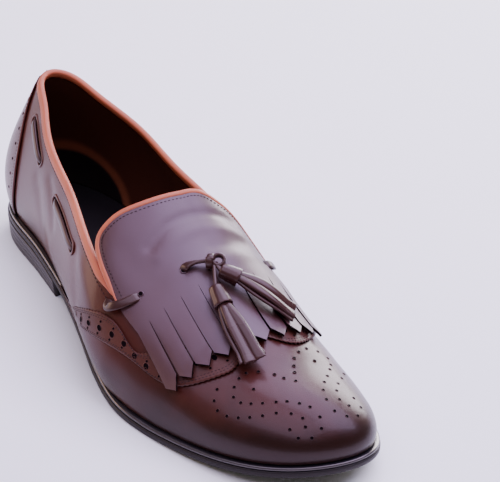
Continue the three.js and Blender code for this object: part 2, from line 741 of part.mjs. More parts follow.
// Where the strips of the fringe part: even turns round the instep, seen from above
const fringeEdge = (i) => {
  const turn = THREE.MathUtils.degToRad(FRINGE.turn);
  const reach = Math.sin(turn * ((2 * i) / FRINGE_STRIPS - 1)) / Math.sin(turn);
  return (FRINGE.middle + FRINGE.half * reach) * BALL_WIDTH;
};

function fringePlan() {
  const behind = 0.4 * SHOE_LENGTH;
  const sideCorner = (FRINGE.corner - FRINGE.recede) * SHOE_LENGTH;
  const points = [new THREE.Vector2(behind, -WIDE / 2), new THREE.Vector2(sideCorner, -WIDE / 2)];
  for (let i = 0; i < FRINGE_STRIPS; i += 1) {
    const from = fringeEdge(i);
    const to = fringeEdge(i + 1);
    const middle = (from + to) / 2;
    const side = (2 * (i + 0.5)) / FRINGE_STRIPS - 1;
    const back = FRINGE.recede * side ** 2;
    const corner = (FRINGE.corner - back) * SHOE_LENGTH;
    const tip = (FRINGE.tip - back) * SHOE_LENGTH;
    const half = FRINGE_SLIT / 2;
    points.push(new THREE.Vector2(corner, from + half), new THREE.Vector2(tip, middle));
    points.push(new THREE.Vector2(corner, to - half));
    if (i < FRINGE_STRIPS - 1) {
      points.push(new THREE.Vector2(FRINGE.root * SHOE_LENGTH, to - half / 2));
      points.push(new THREE.Vector2(FRINGE.root * SHOE_LENGTH, to + half / 2));
    }
  }
  points.push(new THREE.Vector2(sideCorner, WIDE / 2), new THREE.Vector2(behind, WIDE / 2));
  return planCut(points);
}

function kiltie() {
  const side = through(KILTIE_SIDE.map(sidePoint), 8);
  const behind = KILTIE_SIDE[0].along * SHOE_LENGTH;
  const sides = sideCut([
    new THREE.Vector2(0.4 * SHOE_LENGTH, side[0].y + (behind - 0.4 * SHOE_LENGTH) * 0.3),
    ...side,
    new THREE.Vector2(SHOE_LENGTH, side[side.length - 1].y),
    new THREE.Vector2(SHOE_LENGTH, WIDE),
    new THREE.Vector2(0.4 * SHOE_LENGTH, WIDE),
  ]);
  return skin(kiltieBase, kiltieTop).intersect(sides).intersect(fringePlan()).subtract(belowBinding);
}

// A bar of lace lying on the side of the upper, round at both ends
function laceBar({ from, to }, side) {
  const a = sidePoint(from);
  const b = sidePoint(to);
  const angle = Math.atan2(b.y - a.y, b.x - a.x);
  const half = BAR_WIDTH / 2;
  const shape = new THREE.Shape();
  shape.absarc(b.x, b.y, half, angle - Math.PI / 2, angle + Math.PI / 2, false);
  shape.absarc(a.x, a.y, half, angle + Math.PI / 2, angle + 1.5 * Math.PI, false);
  const region = sideCut(shape.getPoints(5), side);
  return skin(level(GAP), level(GAP + BAR_THICKNESS)).intersect(region);
}

// Places on the upper found by looking down, or in from one side, and lifted along the surface's normal

const target = new THREE.Mesh(upperOuter.geometry, new THREE.MeshBasicMaterial({ side: THREE.DoubleSide }));
function lifted(from, way, lift) {
  const hit = new THREE.Raycaster(from, way).intersectObject(target)[0];
  const normal = hit.face.normal.clone();
  if (normal.dot(way) > 0) {
    normal.negate();
  }
  return { point: hit.point.clone().addScaledVector(normal, lift), up: normal };
}
const overTop = (row) => {
  const { x, y } = planPoint(row);
  return lifted(new THREE.Vector3(x, y, WIDE), new THREE.Vector3(0, 0, -1), row.lift * LACE_DIAMETER);
};
const fromSide = (row, side) => {
  const { x, y } = sidePoint(row);
  const from = new THREE.Vector3(x, side * WIDE, y);
  return lifted(from, new THREE.Vector3(0, -side, 0), row.lift * LACE_DIAMETER);
};

// A round cord of eight sides through the points
function cord(points, diameter, steps) {
  const section = new THREE.Shape();
  for (let i = 0; i < 8; i += 1) {
    const angle = (i * Math.PI) / 4;
    const x = (Math.cos(angle) * diameter) / 2;
    const y = (Math.sin(angle) * diameter) / 2;
    if (i === 0) {
      section.moveTo(x, y);
    } else {
      section.lineTo(x, y);
    }
  }
  section.closePath();
  const extrudePath = new THREE.CatmullRomCurve3(points);
  return solidOf(new THREE.ExtrudeGeometry(section, { steps, bevelEnabled: false, extrudePath }));
}

const laceLoop = (side) => cord(LACE_LOOP.map((row) => fromSide(row, side).point), LACE_DIAMETER, 10);

const knotPlace = overTop(KNOT);
function laceKnot() {
  const ball = new THREE.SphereGeometry(KNOT_RADIUS, 12, 8);
  ball.scale(1, 1, 0.85);
  ball.translate(...knotPlace.point.toArray());
  return solidOf(ball);
}

// A cord that stops short of the knot by the gap
const towardsKnot = (points) => {
  const last = points[points.length - 1];
  const way = last.clone().sub(knotPlace.point).normalize();
  return [...points, knotPlace.point.clone().addScaledVector(way, KNOT_RADIUS + GAP)];
};
const laceTie = () => cord(towardsKnot(TIE.map((place) => overTop(place).point)), LACE_DIAMETER, 8);

// Places along a tassel, each with the surface's normal as its up
const tasselPlaces = ({ route }) => route.map(overTop);

function tasselEnd(tassel) {
  const [start] = tasselPlaces(tassel);
  const way = start.point.clone().sub(knotPlace.point).normalize();
  const from = knotPlace.point.clone().addScaledVector(way, KNOT_RADIUS + GAP);
  const to = start.point.clone().addScaledVector(way, -TASSEL_CAP_RADIUS / 4);
  return cord([from, from.clone().lerp(to, 0.5), to], LACE_DIAMETER * 0.8, 3);
}

function frameAt(places, share) {
  const curve = new THREE.CatmullRomCurve3(places.map((place) => place.point));
  const ups = new THREE.CatmullRomCurve3(places.map((place) => place.up));
  const along = curve.getTangent(share);
  const up = ups.getPoint(share);
  up.addScaledVector(along, -up.dot(along)).normalize();
  return { point: curve.getPoint(share), up, across: new THREE.Vector3().crossVectors(along, up) };
}

function ellipseRing({ point, up, across }, wide, high, count) {
  const ring = [];
  for (let i = 0; i < count; i += 1) {
    const angle = (i * 2 * Math.PI) / count;
    const offset = across.clone().multiplyScalar(Math.cos(angle) * wide);
    ring.push(point.clone().add(offset).addScaledVector(up, Math.sin(angle) * high));
  }
  return ring;
}

// The wrapped cap, narrow where the lace comes out and with a rolled edge over the strips
const CAP_SHARE = 0.25;
const CAP_RINGS = [
  { share: 0, size: 0.55 },
  { share: 0.12, size: 0.85 },
  { share: 0.6, size: 0.95 },
  { share: 0.85, size: 1.05 },
  { share: 1, size: 1.05 },
];
function tasselCap(tassel) {
  const places = tasselPlaces(tassel);
  return loft(CAP_RINGS.map(({ share, size }) => {
    const radius = TASSEL_CAP_RADIUS * size;
    return ellipseRing(frameAt(places, share * CAP_SHARE), radius, radius * 0.92, 12);
  }));
}

// The bundle: strips side by side that spread and flatten towards their square ends
function tasselStrips(tassel) {
  const places = tasselPlaces(tassel);
  const start = CAP_SHARE + 0.01;
  const strips = [];
  const root = [0, 1].map((share) => {
    return ellipseRing(frameAt(places, start + share * 0.08), TASSEL_CAP_RADIUS * 0.9, TASSEL_CAP_RADIUS * 0.7, 8);
  });
  strips.push(loft(root));
  for (let i = 0; i < TASSEL_STRIPS; i += 1) {
    const side = (2 * i) / (TASSEL_STRIPS - 1) - 1;
    const layerUp = i % 2 === 0 ? -1 : 1;
    const rings = [0, 0.35, 0.7, 1].map((share) => {
      const frame = frameAt(places, mix(start + 0.01, 1 - 0.03 * (1 - layerUp), share));
      const spread = side * mix(TASSEL_CAP_RADIUS * 0.55, TASSEL_CAP_RADIUS * 1.15, share);
      const stack = layerUp * TASSEL_STRIP_THICKNESS * 0.43;
      frame.point.addScaledVector(frame.across, spread).addScaledVector(frame.up, stack);
      const wide = (TASSEL_STRIP_WIDTH / 2) * mix(0.8, 1.1, share);
      const high = TASSEL_STRIP_THICKNESS / 2;
      return [[-1, -1], [1, -1], [1, 1], [-1, 1]].map(([a, u]) => {
        const corner = frame.point.clone().addScaledVector(frame.across, a * wide);
        return corner.addScaledVector(frame.up, u * high);
      });
    });
    strips.push(loft(rings));
  }
  return joined(strips);
}

// The assembly, moved so that the origin is under the middle of the outsole

const shoe = new THREE.Group();

function add(name, solid, material) {
  const mesh = new THREE.Mesh(geometryOf(solid), material);
  mesh.name = name;
  shoe.add(mesh);
}

add('outsole', outsole(), soleLeather);
add('welt', welt(), weltLeather);
add('heel', heel(), heelLeather);
add('insole', insole(), liningLeather);
add('upper', upper(), leather);
add('heel_counter', counter(), leather);
add('brogue_band', brogueBand(), bandLeather);
add('kiltie', kiltie(), leather);
add('collar_binding', collarBinding(), bindingLeather);
add('tongue_binding', tongueBinding(), bindingLeather);
for (const [sideName, side] of [['outer', OUTER], ['inner', INNER]]) {
  for (const bar of LACE_BARS) {
    add(`lace_bar_${bar.name}_${sideName}`, laceBar(bar, side), leather);
  }
  add(`lace_loop_${sideName}`, laceLoop(side), leather);
}
add('lace_tie', laceTie(), leather);
add('lace_knot', laceKnot(), leather);
for (const tassel of TASSELS) {
  add(`tassel_cord_${tassel.name}`, tasselEnd(tassel), leather);
  add(`tassel_cap_${tassel.name}`, tasselCap(tassel), leather);
  add(`tassel_strips_${tassel.name}`, tasselStrips(tassel), leather);
}

const middle = new THREE.Box3().setFromObject(shoe).getCenter(new THREE.Vector3());
shoe.position.set(-middle.x, -middle.y, 0);

export default shoe;
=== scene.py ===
"""A tassel loafer for the right foot, dressed for a picture.

The shoe is worked out in millimetres, x from the back of the heel to the toe, y towards the inner side and z up
from the floor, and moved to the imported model's frame in metres when a mesh is made.

A place on the upper is (c, w). c runs from 0 at the back of the heel to 11 at the toe. w runs from -1 at the outer
feather line over 0 at the ridge to 1 at the inner feather line.
"""

import bmesh
import bpy
import numpy as np
from mathutils import Matrix, Vector


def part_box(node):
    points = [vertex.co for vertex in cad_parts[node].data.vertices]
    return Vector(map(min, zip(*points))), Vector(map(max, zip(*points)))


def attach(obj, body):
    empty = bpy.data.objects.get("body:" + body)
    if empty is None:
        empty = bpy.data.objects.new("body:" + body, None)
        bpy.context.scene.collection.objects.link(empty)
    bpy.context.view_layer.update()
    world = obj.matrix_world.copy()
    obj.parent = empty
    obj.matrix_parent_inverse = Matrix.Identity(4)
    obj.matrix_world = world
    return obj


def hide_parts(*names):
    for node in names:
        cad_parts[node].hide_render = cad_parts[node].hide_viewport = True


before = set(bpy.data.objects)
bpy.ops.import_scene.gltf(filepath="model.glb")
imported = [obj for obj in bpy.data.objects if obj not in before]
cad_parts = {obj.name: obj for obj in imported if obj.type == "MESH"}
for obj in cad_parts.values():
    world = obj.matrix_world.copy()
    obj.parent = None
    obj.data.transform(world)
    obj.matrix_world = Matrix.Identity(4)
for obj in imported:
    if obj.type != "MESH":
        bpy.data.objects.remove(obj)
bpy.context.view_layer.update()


# Sizes in mm

SHOE_LENGTH = 296.0
BALL_WIDTH = 110.0
HEEL_HEIGHT = 12.0
HEEL_LENGTH = 88.0
HEEL_TAPER = 1.5
BREAST_HOLLOW = 3.0
TOE_SPRING = 13.0
OUTSOLE_THICKNESS = 3.4
WELT_THICKNESS = 1.8
WELT_WIDTH = 10.0
WAIST_TUCK = 2.2
INSOLE_THICKNESS = 3.0
FEATHER_INSET = 3.0
INSTEP_HEIGHT = 69.0
COLLAR_HEIGHT = 67.0
UPPER_WALL = 1.8
BAND_THICKNESS = 1.0
COUNTER_THICKNESS = 0.9
KILTIE_THICKNESS = 1.4
TASSEL_CAP_RADIUS = 4.2
SKIN_THICKNESS = 1.1
LINING_THICKNESS = 0.5
CUT_EASE = 0.12
# How far each layer stops short of the opening, under the binding
SKIN_SHORT = 0.8
LINING_SHORT = 0.6
COUNTER_SHORT = 2.0
GAP = 0.3

# Along as a share of the length, out, crest, bulge, belly, shoulder
OUTLINE = np.array([
    [0.000, -0.040, 0.111, -0.090, 0.20, 1.92],
    [0.030, -0.214, 0.120, -0.110, 0.27, 1.72],
    [0.111, -0.290, 0.142, -0.030, 0.20, 1.50],
    [0.213, -0.305, 0.213, 0.170, 0.06, 1.70],
    [0.334, -0.356, 0.314, 0.230, 0.00, 1.70],
    [0.456, -0.423, 0.426, 0.204, 0.00, 2.08],
    [0.568, -0.495, 0.537, 0.124, 0.00, 2.08],
    [0.674, -0.504, 0.659, 0.046, 0.00, 1.92],
    [0.780, -0.433, 0.760, 0.026, 0.00, 2.02],
    [0.877, -0.329, 0.851, 0.047, 0.00, 2.07],
    [0.958, -0.168, 0.872, 0.047, 0.00, 2.17],
    [0.998, 0.070, 0.882, 0.047, 0.00, 2.17],
    [0.973, 0.286, 0.872, 0.047, 0.00, 2.17],
    [0.882, 0.412, 0.851, 0.047, 0.00, 2.07],
    [0.780, 0.462, 0.760, 0.026, 0.00, 2.02],
    [0.669, 0.465, 0.659, 0.036, 0.00, 1.92],
    [0.557, 0.408, 0.537, 0.124, 0.00, 2.08],
    [0.446, 0.332, 0.426, 0.244, 0.00, 2.08],
    [0.334, 0.302, 0.314, 0.270, 0.00, 1.70],
    [0.213, 0.303, 0.213, 0.170, 0.05, 1.70],
    [0.111, 0.262, 0.142, -0.030, 0.17, 1.50],
    [0.030, 0.146, 0.120, -0.110, 0.24, 1.72],
])
# Along, share of the heel's height, share of the toe spring
UNDERSIDE = np.array([
    [0.000, 1.00, 0], [0.101, 1.00, 0], [0.223, 0.92, 0], [0.355, 0.60, 0], [0.486, 0.20, 0], [0.588, 0.01, 0],
    [0.659, -0.05, 0], [0.720, -0.02, 0], [0.811, 0.00, 0.12], [0.912, 0.00, 0.45], [1.014, 0.00, 1.00],
])
# Along, rise as a share of the instep, aside as a share of the width
RIDGE = np.array([
    [0.101, 1.393, 0.003], [0.203, 1.386, 0.006], [0.304, 1.366, 0.009], [0.405, 1.246, 0.018],
    [0.507, 1.030, 0.027], [0.608, 0.838, 0.030], [0.709, 0.645, 0.032], [0.811, 0.487, 0.036],
    [0.892, 0.403, 0.041],
])
# Along, rise above the feather line as a share of the collar's height
COLLAR_EDGE = np.array([
    [-0.051, 1.259], [0.030, 1.139], [0.081, 1.064], [0.169, 0.912], [0.287, 0.817], [0.405, 0.793],
    [0.497, 0.733], [0.569, 0.634],
])
# Along on the outer side, along on the inner side, rise
TONGUE_EDGE = np.array([
    [0.569, 0.569, 0.634], [0.527, 0.544, 0.716], [0.495, 0.524, 0.782], [0.480, 0.514, 0.843],
    [0.477, 0.508, 0.914], [0.480, 0.502, 1.004], [0.492, 0.492, 1.094], [0.494, 0.494, 1.194],
    [0.497, 0.497, 1.653],
])
COUNTER_EDGE = np.array([[0.045, 1.309], [0.072, 0.850], [0.098, 0.600], [0.111, 0.400], [0.112, 0.250],
                         [0.100, 0.000], [0.095, -0.150]])
LACE_BARS = {"back": [[0.112, 0.842], [0.196, 0.702]], "front": [[0.295, 0.615], [0.417, 0.592]]}
# Along, rise, lift off the upper in mm
LACE_LOOP = np.array([[0.571, 0.597, 0.2], [0.577, 0.560, 2.0], [0.588, 0.575, 3.6], [0.599, 0.612, 3.8],
                      [0.6045, 0.650, 3.2], [0.606, 0.672, 1.0]])
# Where the sole draws in at the waist: behind, from, to and past it
WAIST = [0.213, 0.370, 0.560, 0.690]
FRINGE_STRIPS = 10
FRINGE = {"root": 0.648, "corner": 0.761, "tip": 0.779, "recede": 0.018, "middle": -0.02, "half": 0.365, "turn": 60}


# Curves

def loop_curve(values):
    """A closed uniform cubic B-spline whose controls are relaxed until it runs through the values."""
    values = np.asarray(values, float)
    controls = values.copy()
    for _ in range(60):
        controls = (6 * values - np.roll(controls, 1) - np.roll(controls, -1)) / 4

    def at(place):
        place = np.asarray(place, float)
        i = np.floor(place).astype(int)
        f = place - i
        near = [controls[(i + step) % len(controls)] for step in (-1, 0, 1, 2)]
        weights = ((1 - f) ** 3, 3 * f**3 - 6 * f**2 + 4, -3 * f**3 + 3 * f**2 + 3 * f + 1, f**3)
        return sum(a * b for a, b in zip(weights, near)) / 6
    return at


def table_curve(xs, ys):
    """A natural cubic spline through a table's rows, carried on straight past its ends."""
    xs, ys = np.asarray(xs, float), np.asarray(ys, float)
    n = len(xs)
    h, d = np.diff(xs), np.diff(ys) / np.diff(xs)
    matrix, right = np.eye(n), np.zeros(n)
    k = np.arange(1, n - 1)
    matrix[k, k - 1], matrix[k, k], matrix[k, k + 1] = h[k - 1], 2 * (h[k - 1] + h[k]), h[k]
    right[k] = 6 * (d[k] - d[k - 1])
    bend = np.linalg.solve(matrix, right)

    def at(x):
        x = np.asarray(x, float)
        i = np.clip(np.searchsorted(xs, x) - 1, 0, n - 2)
        inside = np.clip(x, xs[0], xs[-1]) - xs[i]
        start = d[i] - h[i] * (2 * bend[i] + bend[i + 1]) / 6
        cubic = (bend[i + 1] - bend[i]) / (6 * h[i])
        height = ys[i] + start * inside + bend[i] / 2 * inside**2 + cubic * inside**3
        slope = start + bend[i] * inside + 3 * cubic * inside**2
        return height + slope * (x - xs[i] - inside)
    return at


def smooth_line(rows, count):
    """count points on the natural spline through the rows, even in the rows' own order."""
    rows = np.asarray(rows, float)
    order = np.arange(len(rows))
    share = np.linspace(0, len(rows) - 1, count)
    return np.stack([table_curve(order, rows[:, k])(share) for k in range(rows.shape[1])], -1)


def smoothstep(low, high, value):
    """0 below low, 1 above high and 3t^2 - 2t^3 between."""
    t = np.clip((value - low) / (high - low), 0, 1)
    return t * t * (3 - 2 * t)


def unit(vectors):
    """Vectors scaled to length 1."""
    return vectors / np.maximum(np.linalg.norm(vectors, axis=-1, keepdims=True), 1e-12)


def ways_along(points):
    """The direction of a line of points at each of them, from its neighbours."""
    return unit(np.gradient(points, axis=0))


heel_share = table_curve(UNDERSIDE[:, 0], UNDERSIDE[:, 1])
toe_share = table_curve(UNDERSIDE[:, 0], UNDERSIDE[:, 2])
ridge_rise = table_curve(RIDGE[:, 0], RIDGE[:, 1] * INSTEP_HEIGHT)
ridge_aside = table_curve(RIDGE[:, 0], RIDGE[:, 2] * BALL_WIDTH)
outline_along = loop_curve(OUTLINE[:, 0] * SHOE_LENGTH)
outline_out = loop_curve(OUTLINE[:, 1] * BALL_WIDTH)
outline_crest, outline_bulge, outline_belly, outline_shoulder = (loop_curve(OUTLINE[:, k]) for k in (2, 3, 4, 5))
collar_rise = table_curve(COLLAR_EDGE[:, 0], COLLAR_EDGE[:, 1])
tongue_outer = table_curve(TONGUE_EDGE[:, 2], TONGUE_EDGE[:, 0])
tongue_inner = table_curve(TONGUE_EDGE[:, 2], TONGUE_EDGE[:, 1])
counter_along = table_curve(COUNTER_EDGE[::-1, 1], COUNTER_EDGE[::-1, 0])


# Heights above the floor

def underside(x):
    """The sole's underside: the arch's share of the heel and the toe's share of the spring, never below 0."""
    return np.maximum(0, heel_share(x / SHOE_LENGTH) * HEEL_HEIGHT + toe_share(x / SHOE_LENGTH) * TOE_SPRING)


def outsole_top(x):
    """The outsole's upper side."""
    return underside(x) + OUTSOLE_THICKNESS


def feather(x):
    """The line where the upper meets the welt."""
    return outsole_top(x) + WELT_THICKNESS + 2 * GAP


def ridge_height(x):
    """The upper's highest line, over the feather line."""
    return feather(x) + ridge_rise(x / SHOE_LENGTH)


def waist_tuck(place):
    """How far the sole's edge draws in at the waist: a smooth step up behind it and down in front of it."""
    along = outline_along(place) / SHOE_LENGTH
    return WAIST_TUCK * smoothstep(WAIST[0], WAIST[1], along) * (1 - smoothstep(WAIST[2], WAIST[3], along))


# The upper

def outline_point(place, inset):
    """A point of the sole's outline, moved inwards along its normal."""
    step = 1e-3
    dx = outline_along(place + step) - outline_along(place - step)
    dy = outline_out(place + step) - outline_out(place - step)
    length = np.hypot(dx, dy)
    return outline_along(place) - dy / length * inset, outline_out(place) + dx / length * inset


def upper_point(c, w):
    """A point of the upper: a rounded quarter curve from the feather line to the ridge.

    Its rise is sin(a)^p and its reach cos(a)^p, with a from 0 to 90 degrees, p set by the shoulder, and the reach
    swelled by the bulge and the belly. In front of the ball the curves lean with the ridge.
    """
    c, w = np.broadcast_arrays(np.asarray(c, float), np.asarray(w, float))
    place = np.where(w <= 0, c, 22 - c)
    foot_x, foot_y = outline_point(place, FEATHER_INSET)
    crest = outline_crest(place)
    crest_x, crest_y = crest * SHOE_LENGTH, ridge_aside(crest)
    crest_z = ridge_height(crest_x)
    slope = (ridge_height(crest_x + GAP) - ridge_height(crest_x - GAP)) / (2 * GAP)
    lean = slope * np.clip((crest - 0.5) / 0.2, 0, 1)
    drop = crest_z + lean * (foot_x - crest_x) - feather(foot_x)
    power = 2 / outline_shoulder(place)
    angle = (1 - np.abs(w)) * np.pi / 2
    rise = np.maximum(np.sin(angle), 0) ** power
    swell = outline_bulge(place) * 4 * rise * (1 - rise) + outline_belly(place) * 6.75 * rise * (1 - rise) ** 2
    reach = np.maximum(np.cos(angle), 0) ** power * (1 + swell)
    x = crest_x + (foot_x - crest_x) * reach
    y = crest_y + (foot_y - crest_y) * reach
    return np.stack([x, y, crest_z + lean * (x - crest_x) - drop * (1 - rise)], -1)


def upper_normal(c, w):
    """The outward normal of the upper, from differences, kept off the toe's crest point and the feather line."""
    c, w = np.broadcast_arrays(np.asarray(c, float), np.asarray(w, float))
    near = 0.03 * np.clip((c - 10.2) / 0.6, 0, 1)
    w = np.where(np.abs(w) < near, np.where(w <= 0, -near, near), w)
    w = np.clip(w, -0.998, 0.998)
    step = 1e-3
    along = upper_point(c + step, w) - upper_point(c - step, w)
    across = upper_point(c, w + step) - upper_point(c, w - step)
    return unit(np.cross(along, across))


def on_upper(c, w, lift=0.0):
    """A place of the upper lifted off it by mm."""
    return upper_point(c, w) + upper_normal(c, w) * np.asarray(lift, float)[..., None]


COARSE_C, COARSE_W = (grid.ravel() for grid in np.meshgrid(np.linspace(0, 11, 111), np.linspace(-1, 1, 121),
                                                             indexing="ij"))
COARSE_POINTS = upper_point(COARSE_C, COARSE_W)


def find_place(goal, axes, allowed):
    """The places whose two coordinates named by axes are the goal's: the nearest coarse place, then Newton steps."""
    goal = np.atleast_2d(np.asarray(goal, float))
    away = ((COARSE_POINTS[None, allowed][:, :, axes] - goal[:, None]) ** 2).sum(-1)
    first = away.argmin(1)
    c, w = COARSE_C[allowed][first], COARSE_W[allowed][first]
    step = 1e-3
    for _ in range(10):
        miss = upper_point(c, w)[:, axes] - goal
        along = (upper_point(c + step, w) - upper_point(c - step, w))[:, axes] / (2 * step)
        across = (upper_point(c, w + step) - upper_point(c, w - step))[:, axes] / (2 * step)
        turn = along[:, 0] * across[:, 1] - along[:, 1] * across[:, 0]
        turn = np.where(np.abs(turn) < 1e-3, 1e-3, turn)
        c = c - np.clip((miss[:, 0] * across[:, 1] - miss[:, 1] * across[:, 0]) / turn, -0.2, 0.2)
        w = w - np.clip((along[:, 0] * miss[:, 1] - along[:, 1] * miss[:, 0]) / turn, -0.08, 0.08)
        c, w = np.clip(c, 0, 11), np.clip(w, -1, 1)
    return np.stack([c, w], -1)


def side_place(rows, side):
    """Places for rows of [along, rise] seen from the outer (-1) or inner (1) side."""
    rows = np.atleast_2d(np.asarray(rows, float))[:, :2]
    x = rows[:, 0] * SHOE_LENGTH
    goal = np.stack([x, feather(x) + rows[:, 1] * COLLAR_HEIGHT], -1)
    return find_place(goal, [0, 2], (COARSE_W * side > 0.02) & (COARSE_C < 10))


def top_place(points):
    """Places for points [x, y] in mm seen from above."""
    return find_place(points, [0, 1], np.abs(COARSE_W) < 0.9)


def opening_depth(c, w):
    """How far a place is inside the opening, in mm seen from the side: above the collar and behind the tongue."""
    points = upper_point(c, w)
    along = points[..., 0] / SHOE_LENGTH
    rise = (points[..., 2] - feather(points[..., 0])) / COLLAR_HEIGHT
    tongue = np.where(w <= 0, tongue_outer(rise), tongue_inner(rise))
    tongue_slope = np.where(w <= 0, tongue_outer(rise + 0.01) - tongue_outer(rise - 0.01),
                            tongue_inner(rise + 0.01) - tongue_inner(rise - 0.01)) / 0.02
    collar_slope = (collar_rise(along + 0.01) - collar_rise(along - 0.01)) / 0.02
    above = (rise - collar_rise(along)) * COLLAR_HEIGHT
    behind = (tongue - along) * SHOE_LENGTH
    return np.minimum(above / np.hypot(1, collar_slope * COLLAR_HEIGHT / SHOE_LENGTH),
                      behind / np.hypot(1, tongue_slope * SHOE_LENGTH / COLLAR_HEIGHT))


def halve(low, high, sign):
    """The zero between low and high of a rising function, halved 40 times, for whole arrays."""
    low, high = np.array(low, float), np.array(high, float)
    for _ in range(40):
        middle = (low + high) / 2
        above = sign(middle) > 0
        low, high = np.where(above, low, middle), np.where(above, middle, high)
    return (low + high) / 2


def even_line(places, spacing=0.0, count=0):
    """Places spread evenly along a line on the upper, by its length in mm."""
    points = upper_point(places[:, 0], places[:, 1])
    run = np.concatenate([[0], np.cumsum(np.linalg.norm(np.diff(points, axis=0), axis=1))])
    count = count or int(round(run[-1] / spacing)) + 1
    wanted = np.linspace(0, run[-1], count)
    return np.stack([np.interp(wanted, run, places[:, k]) for k in (0, 1)], -1)


def collar_line():
    """Places along the collar from the outer notch round the heel to the inner notch."""
    parts = []
    for side in (-1, 1):
        notch = side_place([COLLAR_EDGE[-1]], side)[0, 0]
        c = np.linspace(0, notch, 140)

        def above(t):
            points = upper_point(c, side * (1 - t))
            rise = (points[:, 2] - feather(points[:, 0])) / COLLAR_HEIGHT
            return rise - collar_rise(points[:, 0] / SHOE_LENGTH)
        w = side * (1 - halve(np.full(140, 0.02), np.full(140, 0.97), above))
        parts.append(np.stack([c, w], -1))
    back = np.array([[0.0, parts[0][0, 1]]])
    return parts[0][::-1], back, parts[1]


def tongue_line():
    """Places along the tongue's edge from the outer notch over the instep to the inner notch."""
    rise = np.linspace(0.592, 0.93, 40)
    outer = side_place(np.stack([tongue_outer(rise), rise], -1), -1)
    inner = side_place(np.stack([tongue_inner(rise), rise], -1), 1)
    w = np.linspace(outer[-1, 1], inner[-1, 1], 122)[1:-1]

    def ahead(c):
        points = upper_point(c, w)
        height = (points[:, 2] - feather(points[:, 0])) / COLLAR_HEIGHT
        edge = np.where(w <= 0, tongue_outer(height), tongue_inner(height))
        return points[:, 0] / SHOE_LENGTH - edge
    c = halve(np.full(120, 4.4), np.full(120, 6.3), ahead)
    return np.concatenate([outer, np.stack([c, w], -1), inner[::-1]])


# Meshes

SOLE_LOW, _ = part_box("outsole")
STEPS = np.linspace(0, 22, 1761)
SOLE_X, SOLE_Y = outline_point(STEPS, waist_tuck(STEPS))
FRAME_X = float(SOLE_X.min()) - SOLE_LOW.x * 1000
FRAME_Y = float(SOLE_Y.min()) - SOLE_LOW.y * 1000


def to_frame(points):
    """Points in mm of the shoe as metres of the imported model's frame."""
    return (np.asarray(points, float) - [FRAME_X, FRAME_Y, 0]) / 1000


def make_piece(name, points, faces, materials, replaced=(), face_materials=None, weld=0.0):
    """One object from points in mm and faces, riding on the shoe, smooth, with coinciding points joined."""
    mesh = bpy.data.meshes.new(name)
    mesh.from_pydata(to_frame(points).tolist(), [], [list(map(int, face)) for face in faces])
    for material in materials:
        mesh.materials.append(material)
    if face_materials is not None:
        mesh.polygons.foreach_set("material_index", np.asarray(face_materials, np.int32))
    if weld:
        work = bmesh.new()
        work.from_mesh(mesh)
        bmesh.ops.remove_doubles(work, verts=work.verts, dist=weld / 1000)
        bmesh.ops.dissolve_degenerate(work, edges=work.edges, dist=1e-7)
        work.to_mesh(mesh)
        work.free()
    mesh.validate()
    mesh.polygons.foreach_set("use_smooth", np.ones(len(mesh.polygons), bool))
    piece = bpy.data.objects.new(name, mesh)
    bpy.context.scene.collection.objects.link(piece)
    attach(piece, "root")
    if replaced:
        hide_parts(*replaced)
    return piece


def ease_edges(piece, harden=False):
    """Takes the sharpness off cut edges by CUT_EASE."""
    bevel = piece.modifiers.new("Cut edges", "BEVEL")
    bevel.width = CUT_EASE / 1000
    bevel.segments = 1
    bevel.angle_limit = 1.0
    bevel.harden_normals = harden


def thicken(piece, thickness, rim=0):
    """Gives a sheet its thickness inwards, so that the outer side stays where it is."""
    wall = piece.modifiers.new("Wall", "SOLIDIFY")
    wall.thickness = thickness / 1000
    wall.offset = -1
    wall.use_even_offset = False
    wall.material_offset_rim = rim
    return piece


def grid_faces(rows, columns, closed=False):
    """Four-cornered faces of a grid of points numbered row by row, joined round where it is closed.

    They face the way of the rows' direction crossed with the columns'.
    """
    across = columns if closed else columns - 1
    r, k = np.meshgrid(np.arange(rows - 1), np.arange(across), indexing="ij")
    after = (k + 1) % columns
    faces = np.stack([r * columns + k, (r + 1) * columns + k, (r + 1) * columns + after, r * columns + after], -1)
    return faces.reshape(-1, 4)


def cut(places, triangles, keep):
    """The part of a mesh of places where keep is above 0: crossed edges get a corner where keep would be 0."""
    inside = keep > 0
    count = inside[triangles].sum(1)
    kept = [triangles[count == 3]]
    crossed, shapes = [], []
    for held in (1, 2):
        some = triangles[count == held]
        odd = (inside[some] == (held == 1)).argmax(1)
        some = np.take_along_axis(some, (odd[:, None] + np.arange(3)) % 3, 1)
        crossed += [some[:, [0, 1]], some[:, [0, 2]]]
        shapes.append(some)
    edges = np.sort(np.concatenate(crossed), axis=1)
    unique, index = np.unique(edges, axis=0, return_inverse=True)
    index = index.ravel() + len(places)
    share = keep[unique[:, 0]] / (keep[unique[:, 0]] - keep[unique[:, 1]])
    new = places[unique[:, 0]] * (1 - share[:, None]) + places[unique[:, 1]] * share[:, None]
    one, two = len(shapes[0]), len(shapes[1])
    ab, ac = index[:one], index[one:2 * one]
    kept.append(np.stack([shapes[0][:, 0], ab, ac], -1))
    ab, ac = index[2 * one:2 * one + two], index[2 * one + two:]
    kept.append(np.stack([ab, shapes[1][:, 1], shapes[1][:, 2]], -1))
    kept.append(np.stack([ab, shapes[1][:, 2], ac], -1))
    faces = np.concatenate(kept)
    used, faces = np.unique(faces, return_inverse=True)
    return np.concatenate([places, new])[used], faces.reshape(-1, 3)


def upper_patch(c, w):
    """Places on a grid of c and w and its triangles."""
    places = np.stack(np.meshgrid(c, w, indexing="ij"), -1).reshape(-1, 2)
    faces = grid_faces(len(c), len(w))
    return places, np.concatenate([faces[:, [0, 1, 2]], faces[:, [0, 2, 3]]])


